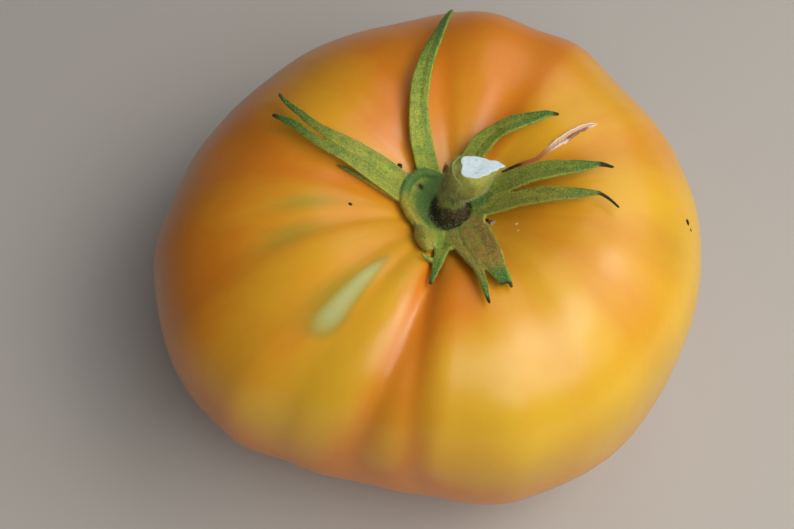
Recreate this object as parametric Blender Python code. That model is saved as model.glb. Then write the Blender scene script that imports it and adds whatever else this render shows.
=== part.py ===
"""A golden beefsteak tomato, as picked: the lobed fruit, its green calyx and the stub of its stem.

Run it with  blender --background --python part.py  or from Blender's text editor.
Metres, +Z up. The origin is the middle of the small flat spot that the fruit rests on, -Y is the side
with the double crease, and the stem end is on top. Azimuths are in degrees, anticlockwise from +X.
"""

import math
from collections import namedtuple

import bmesh
import bpy
from mathutils import Matrix, Vector
from mathutils.bvhtree import BVHTree

MM = 0.001

# Fruit: the profile from the blossom end to the stem end
EQUATOR_HEIGHT = 29.4 * MM  # widest ring, above the table
CROWN = 32.1 * MM  # from the widest ring up to the shoulders, before the basin is sunk
KEEL = 30.7 * MM  # from the widest ring down to the blossom end
FLANK_ROUNDNESS = 0.80  # 1 is an ellipse, less is squarer
CROWN_ROUNDNESS = 0.80
KEEL_ROUNDNESS = 0.85
BASIN_DEPTH = 14.1 * MM
BASIN_RADIUS = 17.0 * MM
STEM_END = Vector((5.0, -3.3)) * MM  # the basin's middle, off the widest ring's middle
STEM_END_POWER = 1.5
BLOSSOM_AZIMUTH = 140.0
BLOSSOM_OFFSET = 18.5 * MM  # the blossom end lies beside the flat spot
BLOSSOM_TIP = math.tan(math.radians(6.0))  # and is tipped up off the table
BLOSSOM_POWER = 3.0
BLOSSOM_DIMPLE = 1.4 * MM
BLOSSOM_DIMPLE_RADIUS = 4.0 * MM

# Widest ring: azimuth and reach, at each crest and valley of its outline
GIRTH = (
    (15, 52.5 * MM),
    (38, 50.8 * MM),
    (55, 51.5 * MM),
    (70, 51.9 * MM),
    (85, 51.6 * MM),
    (103, 49.6 * MM),
    (143, 48.8 * MM),
    (165, 48.8 * MM),
    (190, 51.8 * MM),
    (210, 53.1 * MM),
    (226, 52.2 * MM),
    (240, 49.1 * MM),
    (256, 48.3 * MM),
    (272, 50.0 * MM),
    (290, 52.8 * MM),
    (310, 53.7 * MM),
    (330, 53.0 * MM),
)
# Shoulders that stand out of the round, and one that is sunk
Swell = namedtuple("Swell", "azimuth latitude wide tall height")
SWELLS = (
    Swell(55, 35, 12, 28, 2.4 * MM),
    Swell(75, 45, 12, 25, 2.2 * MM),
    Swell(137, 35, 16, 30, -1.5 * MM),
)

# Grooves between the lobes. azimuth is where one crosses the shoulder, drift how far it turns by the
# equator, low and high the latitudes that it fades out at.
Groove = namedtuple("Groove", "azimuth width depth low high drift")
SHOULDER = 50.0
FADE_LOW = 45.0
FADE_HIGH = 20.0
GROOVES = (
    Groove(257, 3.0, 1.5 * MM, -25, 90, -3),  # double crease, left
    Groove(262, 3.0, 1.2 * MM, -40, 90, 6),  # double crease, right
    Groove(297, 6.0, 0.7 * MM, 20, 90, 2),
    Groove(323, 8.0, 1.0 * MM, 0, 90, -3),
    Groove(343, 8.0, 0.9 * MM, 5, 90, 0),
    Groove(14, 8.0, 1.2 * MM, 0, 90, 0),
    Groove(60, 8.0, 1.8 * MM, -10, 90, 2),
    Groove(92, 8.0, 0.9 * MM, 0, 90, 0),
    Groove(112, 9.0, 0.8 * MM, -10, 90, 0),
    Groove(168, 8.0, 1.5 * MM, 0, 90, -20),
    Groove(203, 6.0, 0.9 * MM, 0, 90, 3),
    Groove(229, 6.0, 0.9 * MM, 10, 90, 8),
    Groove(241, 4.0, 0.5 * MM, 25, 90, 2),
    Groove(18, 12.0, 0.8 * MM, -95, 10, 0),  # gathers to the blossom end
    Groove(82, 12.0, 0.8 * MM, -95, 10, 0),
    Groove(140, 12.0, 0.9 * MM, -95, 10, 0),
    Groove(200, 12.0, 0.8 * MM, -95, 10, 0),
    Groove(262, 10.0, 0.9 * MM, -95, 10, 0),
)
FRUIT_SIDES = 88
FRUIT_RINGS = 48
RING_CROWDING = 12.0  # degrees that rings are drawn towards the two ends

# Calyx: a shallow cup round the stem, with the sepals growing from its edge
SKIN_GAP = 0.35 * MM
CUP_CENTRE = Vector((4.9, -3.7)) * MM
CUP_THICKNESS = 1.3 * MM
HOLLOW_RADIUS = 4.1 * MM  # round the stem's foot
HOLLOW_FLOOR = 0.95 * MM  # thickness under it
# The cup's section: share of the edge's radius, and share of the edge's height
CUP_OUTER = ((1.0, 0.55), (0.95, 1.0), (0.82, 0.85))
CUP_SLOPE_END = 0.25  # where the inner slope ends, between the hollow and the edge
CUP_UNDERSIDE = (0.6, 0.85)  # shares of the edge's radius
HOLLOW_TAPER = (0.85, 0.5)  # shares of the hollow's radius, at its floor and under it
CUP_SIDES = 48
# azimuth, radius and height of the cup's edge above the skin
CUP_EDGE = (
    (0, 6.2 * MM, 1.5 * MM),
    (70, 6.0 * MM, 1.5 * MM),
    (112, 7.0 * MM, 1.7 * MM),
    (138, 8.0 * MM, 2.1 * MM),
    (178, 8.9 * MM, 2.2 * MM),
    (212, 9.2 * MM, 2.1 * MM),
    (238, 10.6 * MM, 1.8 * MM),
    (262, 12.0 * MM, 1.5 * MM),
    (285, 11.6 * MM, 1.4 * MM),
    (308, 8.4 * MM, 1.4 * MM),
    (335, 6.8 * MM, 1.4 * MM),
)
ROLL_FROM = 232.0  # rolled rim on the cup's left
ROLL_TO = 108.0
ROLL_RADIUS = 0.95 * MM
ROLL_END = 0.55  # share of its radius and height at the two ends
ROLL_OUT = 0.3 * MM  # how far it hangs over the edge
ROLL_TOP = 3.1 * MM  # its top over the skin
ROLL_STATIONS = 16
BEAD_SIDES = 8
# Fleshy lobe folded up beside the rim's near end: ground plan, height over the skin, and radius
FOLD = (
    (0.4 * MM, -9.8 * MM, 1.2 * MM, 0.80 * MM),
    (-0.9 * MM, -11.1 * MM, 1.7 * MM, 1.15 * MM),
    (-1.1 * MM, -12.7 * MM, 1.9 * MM, 1.35 * MM),
    (-0.3 * MM, -14.3 * MM, 1.8 * MM, 1.25 * MM),
    (1.0 * MM, -15.4 * MM, 1.4 * MM, 0.85 * MM),
)

# Sepals, in degrees and millimetres: azimuth round the stem at the root and the tip, how far it bows off
# the straight way between them and sways to both sides of it, length from the stem's axis, how far the
# tip hooks sideways, height of the arch over the skin, height of the tip, how far the face is rolled
# over by the tip, and the widths at the root, at each quarter of the way and at the tip
Sepal = namedtuple("Sepal", "root tip bow sway length hook arch tip_lift roll widths")
SEPALS = {
    "far": Sepal(125.9, 89.7, -4.5, 1.1, 41.1, -0.5, 1.8, 2.2, -8, (4.4, 4.2, 3.5, 2.6, 1.1)),
    "far_right": Sepal(69.5, 37.0, 0.6, 3.6, 23.4, -1.0, 2.7, 1.8, -12, (3.8, 4.3, 3.7, 2.9, 0.6)),
    "right_upper": Sepal(26.9, 6.6, -9.2, 0.1, 28.2, -1.5, 1.7, 1.8, -8, (4.8, 4.6, 4.0, 2.7, 0.5)),
    "right_lower": Sepal(352.1, 354.0, -2.8, 0.6, 29.0, -3.2, 1.6, 1.2, 8, (4.4, 3.5, 3.0, 1.8, 0.5)),
    "near_right": Sepal(310.7, 291.7, -8.7, -1.1, 23.4, -0.3, 1.2, 1.2, 0, (6.0, 5.3, 5.0, 4.0, 1.9)),
    "near": Sepal(277.9, 281.3, 0.6, -1.0, 26.3, 0.3, 0.9, 1.0, 0, (4.0, 3.8, 2.9, 1.4, 0.5)),
    "near_left": Sepal(254.5, 258.4, 3.4, 0.9, 20.8, -0.1, 0.7, 0.9, 0, (4.0, 3.0, 2.5, 1.6, 0.6)),
    "left_upper": Sepal(155.8, 140.3, 10.1, -1.7, 38.0, 3.7, 1.3, 1.4, 0, (3.8, 3.4, 2.5, 1.4, 0.8)),
    "left_lower": Sepal(183.1, 149.7, -1.5, -2.6, 36.0, 2.7, 1.1, 1.2, 0, (3.2, 2.9, 2.2, 1.9, 0.9)),
}
SEPAL_ROOT = 4.2 * MM
SEPAL_THICKNESS = 1.0 * MM
SEPAL_LYING = 0.75  # height of its middle when it lies on the skin, in thicknesses
SEPAL_THINNING = 0.3  # share of the thickness lost by the tip
SEPAL_SHOULDER = 1.2  # how soon the arch rises: 1 is a half wave
SEPAL_STATIONS = 16
HOOK_FROM = 0.85  # share of the way where the tip starts to hook
HOOK_POWER = 1.5
# A blade's section: place across it from -1 to 1, and height in thicknesses
BLADE_SECTION = (
    (-1, -0.35),
    (-1, 0.25),
    (-0.5, 0.5),
    (0, 0.3),
    (0.5, 0.5),
    (1, 0.25),
    (1, -0.35),
    (0, -0.5),
)

# Stem: the stub with its knuckle and slanting cut
STEM_SIDES = 24
# x, y, height over the skin at the cup's centre, and radius
STEM_LINE = (
    (4.8 * MM, -3.9 * MM, 1.65 * MM, 3.15 * MM),
    (4.8 * MM, -3.9 * MM, 2.7 * MM, 3.00 * MM),
    (4.9 * MM, -3.7 * MM, 4.4 * MM, 2.40 * MM),
    (5.2 * MM, -3.7 * MM, 6.6 * MM, 2.45 * MM),
    (5.8 * MM, -3.7 * MM, 8.6 * MM, 2.75 * MM),
    (6.9 * MM, -3.8 * MM, 10.4 * MM, 3.40 * MM),
    (8.0 * MM, -3.6 * MM, 12.1 * MM, 3.50 * MM),
)
CUT_CENTRE = Vector((8.9, -3.4, 13.9)) * MM
CUT_NORMAL = Vector((0.10, 0.22, 0.97)).normalized()
CUT_RADIUS = 2.5 * MM
CUT_SLIVER = 2.5 * MM  # how far the torn point reaches past the round of the cut
CUT_SLIVER_POWER = 5
CUT_ROUND = 0.45 * MM  # how far the edge under the cut swells out


def eased(share):
    """A share from 0 to 1 with a level start and end."""
    share = min(max(share, 0.0), 1.0)
    return share * share * (3 - 2 * share)


def signed(angle):
    """An angle in degrees brought between -180 and 180."""
    return (angle + 180) % 360 - 180


def around(stations, azimuth):
    """The values at an azimuth, eased from one station (azimuth, value, ...) to the next one round."""
    first = stations[0]
    closed = (*stations, (first[0] + 360, *first[1:]))
    azimuth = (azimuth - first[0]) % 360 + first[0]
    for start, end in zip(closed, closed[1:]):
        if azimuth <= end[0]:
            break
    share = eased((azimuth - start[0]) / (end[0] - start[0]))
    return [a + (b - a) * share for a, b in zip(start[1:], end[1:])]


def outward(azimuth):
    """The level direction at an azimuth in degrees."""
    return Vector((math.cos(math.radians(azimuth)), math.sin(math.radians(azimuth))))


def groove_depth(azimuth, latitude):
    """How deep the grooves cut at that place, added together."""
    depth = 0.0
    for groove in GROOVES:
        middle = groove.azimuth + groove.drift * (SHOULDER - latitude) / SHOULDER
        away = signed(azimuth - middle) / groove.width
        crease = math.exp(1 - math.sqrt(1 + away * away))
        reach = eased((latitude - groove.low) / FADE_LOW) * eased((groove.high - latitude) / FADE_HIGH)
        depth += groove.depth * crease * reach
    return depth


def swell_height(azimuth, latitude):
    """How far the swells stand out at that place, added together."""
    height = 0.0
    for swell in SWELLS:
        round_way = signed(azimuth - swell.azimuth) / swell.wide
        up_way = (latitude - swell.latitude) / swell.tall
        height += swell.height * math.exp(-(round_way**2) - up_way**2)
    return height


def skin_point(azimuth, latitude):
    """A point of the fruit's skin. Latitude runs from -90, the blossom end, to 90, the stem end."""
    out, up = max(math.cos(math.radians(latitude)), 0.0), math.sin(math.radians(latitude))
    reach = around(GIRTH, azimuth)[0] * out**FLANK_ROUNDNESS
    centre = Vector((0, 0))
    if up >= 0:
        basin = BASIN_DEPTH * math.exp(-((reach / BASIN_RADIUS) ** 2))
        height = CROWN * up**CROWN_ROUNDNESS - basin
        centre = STEM_END * up**STEM_END_POWER
    else:
        end = (-up) ** BLOSSOM_POWER
        way = outward(BLOSSOM_AZIMUTH)
        centre = way * BLOSSOM_OFFSET * end
        along = (outward(azimuth) * reach + centre).dot(way)
        dimple = BLOSSOM_DIMPLE * math.exp(-((reach / BLOSSOM_DIMPLE_RADIUS) ** 2))
        height = -KEEL * (-up) ** KEEL_ROUNDNESS + along * BLOSSOM_TIP * end + dimple
    facing = (outward(azimuth) * out).to_3d() + Vector((0, 0, up))
    point = (outward(azimuth) * reach + centre).to_3d() + Vector((0, 0, height))
    point += facing.normalized() * (swell_height(azimuth, latitude) - groove_depth(azimuth, latitude))
    point.z = max(point.z + EQUATOR_HEIGHT, 0.0)
    return point


def material(name, colour, roughness):
    """A plain Principled material."""
    made = bpy.data.materials.new(name)
    made.use_nodes = True
    shader = made.node_tree.nodes["Principled BSDF"]
    shader.inputs["Base Color"].default_value = (*colour, 1)
    shader.inputs["Roughness"].default_value = roughness
    shader.inputs["Metallic"].default_value = 0.0
    return made


def object_from(name, mesh, look):
    """A smooth object of a mesh with one material, in the scene."""
    mesh.materials.append(look)
    mesh.shade_smooth()
    made = bpy.data.objects.new(name, mesh)
    bpy.context.scene.collection.objects.link(made)
    return made


def finished_mesh(name, shape):
    """The bmesh as a mesh of triangles that face outwards."""
    bmesh.ops.recalc_face_normals(shape, faces=shape.faces)
    bmesh.ops.triangulate(shape, faces=shape.faces)
    mesh = bpy.data.meshes.new(name)
    shape.to_mesh(mesh)
    shape.free()
    return mesh


def build_fruit(look):
    """The fruit: a ball of rings drawn out to its skin."""
    ball = bmesh.new()
    bmesh.ops.create_uvsphere(ball, u_segments=FRUIT_SIDES, v_segments=FRUIT_RINGS, radius=1)
    for corner in ball.verts:
        azimuth = math.degrees(math.atan2(corner.co.y, corner.co.x)) % 360
        latitude = math.degrees(math.asin(max(-1.0, min(1.0, corner.co.z))))
        latitude += RING_CROWDING * math.sin(math.radians(2 * latitude))
        corner.co = skin_point(azimuth, latitude)
    return object_from("fruit", finished_mesh("fruit", ball), look)


class Skin:
    """Reads the height and the slope of the fruit's upper skin, for what lies on it."""

    ABOVE = 200.0 * MM
    SLOPE_STEP = 1.5 * MM

    def __init__(self, fruit):
        corners = [corner.co for corner in fruit.data.vertices]
        self.tree = BVHTree.FromPolygons(corners, [face.vertices for face in fruit.data.polygons])

    def height(self, place):
        return self.tree.ray_cast(Vector((place.x, place.y, self.ABOVE)), Vector((0, 0, -1)))[0].z

    def above(self, place, lift):
        """The point that is lift over the skin there."""
        return Vector((place.x, place.y, self.height(place) + lift))

    def slope(self, place):
        """The upward normal, averaged over a few millimetres."""
        east, north = Vector((self.SLOPE_STEP, 0)), Vector((0, self.SLOPE_STEP))
        rise_east = self.height(place + east) - self.height(place - east)
        rise_north = self.height(place + north) - self.height(place - north)
        return Vector((-rise_east, -rise_north, 2 * self.SLOPE_STEP)).normalized()


def closed_tube(name, rings):
    """A closed tube through rings of points, with a face over each end."""
    tube = bmesh.new()
    loops = [[tube.verts.new(point) for point in ring] for ring in rings]
    count = len(rings[0])
    for lower, upper in zip(loops, loops[1:]):
        for k in range(count):
            tube.faces.new((lower[k], lower[(k + 1) % count], upper[(k + 1) % count], upper[k]))
    tube.faces.new(reversed(loops[0]))
    tube.faces.new(loops[-1])
    return finished_mesh(name, tube)


def sepal_place(sepal, share):
    """Where a sepal's midline is over the ground plan, from 0 at the root to 1 at the tip."""
    azimuth = sepal.root + signed(sepal.tip - sepal.root) * share
    azimuth += sepal.bow * 4 * share * (1 - share) + sepal.sway * math.sin(2 * math.pi * share)
    distance = SEPAL_ROOT + (sepal.length * MM - SEPAL_ROOT) * share
    way = outward(azimuth)
    hook = sepal.hook * MM * max(0.0, (share - HOOK_FROM) / (1 - HOOK_FROM)) ** HOOK_POWER
    return CUP_CENTRE + way * distance + Vector((-way.y, way.x)) * hook


def sepal_lift(sepal, share):
    """Height of a sepal's midline over the skin."""
    lying = SKIN_GAP + SEPAL_THICKNESS * SEPAL_LYING
    arch = sepal.arch * MM * math.sin(math.pi * share) ** SEPAL_SHOULDER
    return lying + arch + (sepal.tip_lift * MM - SKIN_GAP) * share**2


def sepal_half_width(sepal, share):
    """Half the width, even from one quarter of the way to the next."""
    quarter = min(int(share * 4), 3)
    start, end = sepal.widths[quarter : quarter + 2]
    return (start + (end - start) * (share * 4 - quarter)) * MM / 2


def build_sepal(name, sepal, skin):
    """A narrow leaf that arches over the skin, channelled along the middle and drawn out to a tip."""
    shares = [k / (SEPAL_STATIONS - 1) for k in range(SEPAL_STATIONS)]
    spine = [skin.above(sepal_place(sepal, share), sepal_lift(sepal, share)) for share in shares]
    rings = []
    for k, (share, middle) in enumerate(zip(shares, spine)):
        forward = (spine[min(k + 1, len(spine) - 1)] - spine[max(k - 1, 0)]).normalized()
        across = forward.cross(skin.slope(middle.xy)).normalized()
        across.rotate(Matrix.Rotation(math.radians(sepal.roll * share), 3, forward))
        up = across.cross(forward).normalized()
        half = sepal_half_width(sepal, share)
        thick = SEPAL_THICKNESS * (1 - SEPAL_THINNING * share)
        rings.append([middle + across * half * u + up * thick * v for u, v in BLADE_SECTION])
    return closed_tube(name, rings)


def cup_section(azimuth, skin):
    """The points of the cup's section at an azimuth, from its edge in to the hollow and back under."""
    radius, edge = around(CUP_EDGE, azimuth)
    way = outward(azimuth)
    section = []
    for out, up in CUP_OUTER:
        section.append(skin.above(CUP_CENTRE + way * radius * out, SKIN_GAP + edge * up))
    slope_end = HOLLOW_RADIUS + CUP_SLOPE_END * (radius - HOLLOW_RADIUS)
    for reach in (slope_end, HOLLOW_RADIUS):
        section.append(skin.above(CUP_CENTRE + way * reach, SKIN_GAP + CUP_THICKNESS))
    floor = CUP_CENTRE + way * HOLLOW_RADIUS * HOLLOW_TAPER[0]
    section.append(Vector((floor.x, floor.y, skin.height(CUP_CENTRE) + SKIN_GAP + HOLLOW_FLOOR)))
    section.append(skin.above(CUP_CENTRE + way * HOLLOW_RADIUS * HOLLOW_TAPER[1], SKIN_GAP))
    for share in CUP_UNDERSIDE:
        section.append(skin.above(CUP_CENTRE + way * radius * share, SKIN_GAP))
    return section


def build_cup(skin):
    """The cup: its section taken once round the stem, with the hollow's floor and its underside closed."""
    cup = bmesh.new()
    loops = []
    for k in range(CUP_SIDES):
        loops.append([cup.verts.new(point) for point in cup_section(360 * k / CUP_SIDES, skin)])
    floor = len(CUP_OUTER) + 2
    count = len(loops[0])
    for k, loop in enumerate(loops):
        after = loops[(k + 1) % CUP_SIDES]
        for j in range(count):
            if j != floor:
                cup.faces.new((loop[j], loop[(j + 1) % count], after[(j + 1) % count], after[j]))
    cup.faces.new([loop[floor] for loop in loops])
    cup.faces.new([loop[floor + 1] for loop in reversed(loops)])
    return finished_mesh("calyx", cup)


def rim_line(skin):
    """The cup's edge on its left, rolled into a lip: its middles and radii."""
    line = []
    for k in range(ROLL_STATIONS):
        share = k / (ROLL_STATIONS - 1)
        azimuth = (ROLL_FROM + (ROLL_TO - ROLL_FROM) * share) % 360
        full = ROLL_END + (1 - ROLL_END) * math.sqrt(math.sin(math.pi * share))
        thick = ROLL_RADIUS * full
        reach = around(CUP_EDGE, azimuth)[0] + ROLL_OUT - thick
        line.append((skin.above(CUP_CENTRE + outward(azimuth) * reach, ROLL_TOP * full - thick), thick))
    return line


def fold_line(skin):
    """The folded lobe's middles and radii."""
    return [(skin.above(Vector((x, y)), height), radius) for x, y, height, radius in FOLD]


def build_bead(name, line):
    """A closed round bead along a line of middles and radii."""
    rings = []
    for k, (middle, radius) in enumerate(line):
        forward = line[min(k + 1, len(line) - 1)][0] - line[max(k - 1, 0)][0]
        side = forward.cross(Vector((0, 0, 1))).normalized()
        up = side.cross(forward).normalized()
        turns = [2 * math.pi * j / BEAD_SIDES for j in range(BEAD_SIDES)]
        rings.append([middle + (side * math.cos(t) + up * math.sin(t)) * radius for t in turns])
    return closed_tube(name, rings)


def build_calyx(skin, look):
    """The cup, its rolled rim, the folded lobe and the sepals, joined into one body."""
    calyx = object_from("calyx", build_cup(skin), look)
    growth = bpy.data.collections.new("growth")
    bpy.context.scene.collection.children.link(growth)
    meshes = [build_sepal(name, sepal, skin) for name, sepal in SEPALS.items()]
    meshes.append(build_bead("rolled_rim", rim_line(skin)))
    meshes.append(build_bead("folded_lobe", fold_line(skin)))
    for mesh in meshes:
        growth.objects.link(bpy.data.objects.new(mesh.name, mesh))
    union = calyx.modifiers.new("join", "BOOLEAN")
    union.operation = "UNION"
    union.operand_type = "COLLECTION"
    union.collection = growth
    union.solver = "EXACT"
    graph = bpy.context.evaluated_depsgraph_get()
    joined = bpy.data.meshes.new_from_object(calyx.evaluated_get(graph))
    calyx.modifiers.clear()
    calyx.data = joined
    joined.shade_smooth()
    for piece in list(growth.objects):
        bpy.data.objects.remove(piece)
    bpy.data.collections.remove(growth)


def build_stem(skin, look):
    """The stub: a foot in the cup's hollow, a waist, a knuckle, and the slanting cut with its sliver."""
    middles = [skin.above(CUP_CENTRE, height) for *_, height, _ in STEM_LINE]
    rings = []
    for middle, (x, y, *_) in zip(middles, STEM_LINE):
        middle.xy = x, y
    for k, (middle, (*_, radius)) in enumerate(zip(middles, STEM_LINE)):
        forward = (middles[min(k + 1, len(middles) - 1)] - middles[max(k - 1, 0)]).normalized()
        rings.append(ring_about(middle, forward if k else Vector((0, 0, 1)), radius))
    cut = skin.above(CUP_CENTRE, CUT_CENTRE.z)
    cut.xy = CUT_CENTRE.xy
    rings.append(ring_about(cut - CUT_NORMAL * CUT_ROUND, CUT_NORMAL, CUT_RADIUS + CUT_ROUND, CUT_SLIVER))
    rings.append(ring_about(cut, CUT_NORMAL, CUT_RADIUS, CUT_SLIVER))
    object_from("stem", closed_tube("stem", rings), look)


def ring_about(middle, normal, radius, sliver=0.0):
    """A ring of points in the plane across normal, from +X round, where a sliver may reach farther."""
    across = (Vector((1, 0, 0)) - normal * normal.x).normalized()
    side = normal.cross(across)
    ring = []
    for k in range(STEM_SIDES):
        turn = 2 * math.pi * k / STEM_SIDES
        reach = radius + sliver * max(math.cos(turn), 0.0) ** CUT_SLIVER_POWER
        ring.append(middle + (across * math.cos(turn) + side * math.sin(turn)) * reach)
    return ring


def main():
    for thing in list(bpy.data.objects):
        bpy.data.objects.remove(thing)
    fruit = build_fruit(material("ripe_skin", (0.84, 0.34, 0.02), 0.30))
    skin = Skin(fruit)
    build_calyx(skin, material("green_calyx", (0.13, 0.24, 0.03), 0.60))
    build_stem(skin, material("green_stem", (0.20, 0.28, 0.04), 0.65))


main()
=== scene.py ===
"""Dresses the golden beefsteak tomato: its lobed waxy fruit, the haired calyx and the cut stub of stem.

Everything is in metres in the row frame, +Z up. The origin is the middle of the flat spot that the
fruit rests on. Azimuths are in degrees, anticlockwise from +X, and latitudes run from -90 at the
blossom end to 90 at the stem end.
"""

import logging
import math
from dataclasses import dataclass, field
from enum import Enum
from typing import NamedTuple

import bmesh
import bpy
import numpy as np
from mathutils import Matrix, Vector, noise
from mathutils.bvhtree import BVHTree


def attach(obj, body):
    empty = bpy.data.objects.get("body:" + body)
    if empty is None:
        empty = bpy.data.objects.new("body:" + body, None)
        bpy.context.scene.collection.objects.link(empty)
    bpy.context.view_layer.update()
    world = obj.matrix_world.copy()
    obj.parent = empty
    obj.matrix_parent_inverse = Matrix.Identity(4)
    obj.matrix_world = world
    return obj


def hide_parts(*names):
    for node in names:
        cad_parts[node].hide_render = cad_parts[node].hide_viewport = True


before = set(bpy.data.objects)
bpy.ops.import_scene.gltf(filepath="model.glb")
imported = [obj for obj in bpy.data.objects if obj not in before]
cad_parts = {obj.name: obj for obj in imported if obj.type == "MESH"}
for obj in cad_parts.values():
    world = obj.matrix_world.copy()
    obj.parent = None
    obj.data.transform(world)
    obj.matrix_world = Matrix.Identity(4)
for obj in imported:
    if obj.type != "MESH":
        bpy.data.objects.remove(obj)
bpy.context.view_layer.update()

MM = 0.001
BODY = "root"
LOG = logging.getLogger("tomato")

# Shares of a hair's given length that the hairs of one piece vary between
SHORTEST_HAIR = 0.45
LONGEST_HAIR = 1.1


def linear(code: str, alpha: float = 1.0) -> tuple[float, float, float, float]:
    """Turns an sRGB colour into the linear one that shaders take.

    Args:
        code: Six hex digits, with or without a leading #.
        alpha: Opacity to put beside it.

    Returns:
        Red, green, blue and alpha.
    """
    parts = [int(code.lstrip("#")[k : k + 2], 16) / 255 for k in (0, 2, 4)]
    red, green, blue = (p / 12.92 if p <= 0.04045 else ((p + 0.055) / 1.055) ** 2.4 for p in parts)
    return red, green, blue, alpha


def add(tree: bpy.types.NodeTree, kind: str, links: dict | None = None, **settings) -> bpy.types.Node:
    """Adds one node with its settings and links.

    Args:
        tree: The node tree that it goes into.
        kind: The node's type name.
        links: Input name or index, to the socket or the value that feeds it.
        settings: Attributes of the node.

    Returns:
        The new node.
    """
    node = tree.nodes.new(kind)
    for name, value in settings.items():
        setattr(node, name, value)
    for name, value in (links or {}).items():
        if isinstance(value, bpy.types.NodeSocket):
            tree.links.new(value, node.inputs[name])
        else:
            node.inputs[name].default_value = value
    return node


def eased(share: np.ndarray) -> np.ndarray:
    """Shares from 0 to 1 with a level start and end."""
    share = np.clip(share, 0.0, 1.0)
    return share * share * (3 - 2 * share)


def signed(angle: np.ndarray) -> np.ndarray:
    """Angles in degrees brought between -180 and 180."""
    return (angle + 180) % 360 - 180


def around(stations: tuple, azimuth: np.ndarray) -> list[np.ndarray]:
    """Values at azimuths, eased from one station to the next one round.

    Args:
        stations: Rows of azimuth, value, and any further values.
        azimuth: Degrees.

    Returns:
        One array for each value of a station.
    """
    rows = np.array([*stations, (stations[0][0] + 360, *stations[0][1:])], float)
    turned = (np.asarray(azimuth, float) - rows[0, 0]) % 360 + rows[0, 0]
    k = np.clip(np.searchsorted(rows[:, 0], turned, side="left") - 1, 0, len(rows) - 2)
    share = eased((turned - rows[k, 0]) / (rows[k + 1, 0] - rows[k, 0]))
    return [rows[k, c] + (rows[k + 1, c] - rows[k, c]) * share for c in range(1, rows.shape[1])]


def places(kind: type, *rows: tuple[float, ...]) -> tuple:
    """Places of one kind, whose numbers are all given in millimetres."""
    return tuple(kind(*(value * MM for value in row)) for row in rows)


def round_table(*rows: tuple[float, ...]) -> tuple:
    """A table for around: azimuths in degrees, each with lengths given in millimetres."""
    return tuple((azimuth, *(value * MM for value in values)) for azimuth, *values in rows)


def outward(azimuth: float) -> Vector:
    """The level direction at an azimuth in degrees."""
    return Vector((math.cos(math.radians(azimuth)), math.sin(math.radians(azimuth))))


def made_mesh(work: bmesh.types.BMesh, name: str) -> bpy.types.Mesh:
    """Ends a work mesh and keeps what it held.

    Args:
        work: The work mesh, which can't be used after this.
        name: The name of the mesh that is kept.

    Returns:
        The mesh.
    """
    mesh = bpy.data.meshes.new(name)
    work.to_mesh(mesh)
    work.free()
    return mesh


def plain_object(name: str, mesh: bpy.types.Mesh) -> bpy.types.Object:
    """Puts a mesh in the scene as an object at the origin.

    Args:
        name: The object's name.
        mesh: Its mesh, already in the row frame.

    Returns:
        The new object.
    """
    made = bpy.data.objects.new(name, mesh)
    bpy.context.scene.collection.objects.link(made)
    return made


def applied(obj: bpy.types.Object) -> bpy.types.Object:
    """Turns what an object's modifiers make into its plain mesh.

    Args:
        obj: An object with live modifiers.

    Returns:
        The same object, with no modifiers left.
    """
    graph = bpy.context.evaluated_depsgraph_get()
    made = bpy.data.meshes.new_from_object(obj.evaluated_get(graph))
    obj.modifiers.clear()
    obj.data = made
    return obj


def with_tree(obj: bpy.types.Object, tree: bpy.types.NodeTree, values: dict) -> bpy.types.Object:
    """Runs a Geometry Nodes tree on an object and keeps the plain mesh.

    Args:
        obj: The object that it works on.
        tree: The Geometry Nodes tree.
        values: Input name to value.

    Returns:
        The same object, with its new mesh.
    """
    modifier = obj.modifiers.new(tree.name, "NODES")
    modifier.node_group = tree
    for item in tree.interface.items_tree:
        if item.item_type == "SOCKET" and item.in_out == "INPUT" and item.name in values:
            modifier[item.identifier] = values[item.name]
    return applied(obj)


def write_attribute(mesh: bpy.types.Mesh, name: str, values: np.ndarray) -> None:
    """Stores numbers or vectors on a mesh's points.

    Args:
        mesh: The mesh.
        name: The attribute's name, which its material reads.
        values: One row for each point.
    """
    vector = values.ndim == 2
    made = mesh.attributes.new(name, "FLOAT_VECTOR" if vector else "FLOAT", "POINT")
    made.data.foreach_set("vector" if vector else "value", values.astype(np.float32).ravel())


def read_attribute(mesh: bpy.types.Mesh, name: str) -> np.ndarray:
    """The numbers stored on a mesh's points under a name."""
    values = np.empty(len(mesh.vertices), np.float32)
    mesh.attributes[name].data.foreach_get("value", values)
    return values


def read_points(mesh: bpy.types.Mesh) -> np.ndarray:
    """A mesh's points, one row each."""
    values = np.empty(len(mesh.vertices) * 3, np.float32)
    mesh.vertices.foreach_get("co", values)
    return values.reshape(-1, 3).astype(float)


def write_points(mesh: bpy.types.Mesh, points: np.ndarray) -> None:
    """Moves a mesh's points."""
    mesh.vertices.foreach_set("co", points.astype(np.float32).ravel())
    mesh.update()


def read_normals(mesh: bpy.types.Mesh) -> np.ndarray:
    """A mesh's point normals, one row each."""
    values = np.empty(len(mesh.vertices) * 3, np.float32)
    mesh.vertex_normals.foreach_get("vector", values)
    return values.reshape(-1, 3).astype(float)


class Groove(NamedTuple):
    """A valley between two lobes, with where it crosses the shoulder and the latitudes it fades at."""

    azimuth: float
    width: float
    depth: float
    low: float
    high: float
    drift: float


class Swell(NamedTuple):
    """A shoulder that stands out of the round, or is sunk."""

    azimuth: float
    latitude: float
    wide: float
    tall: float
    height: float


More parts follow.
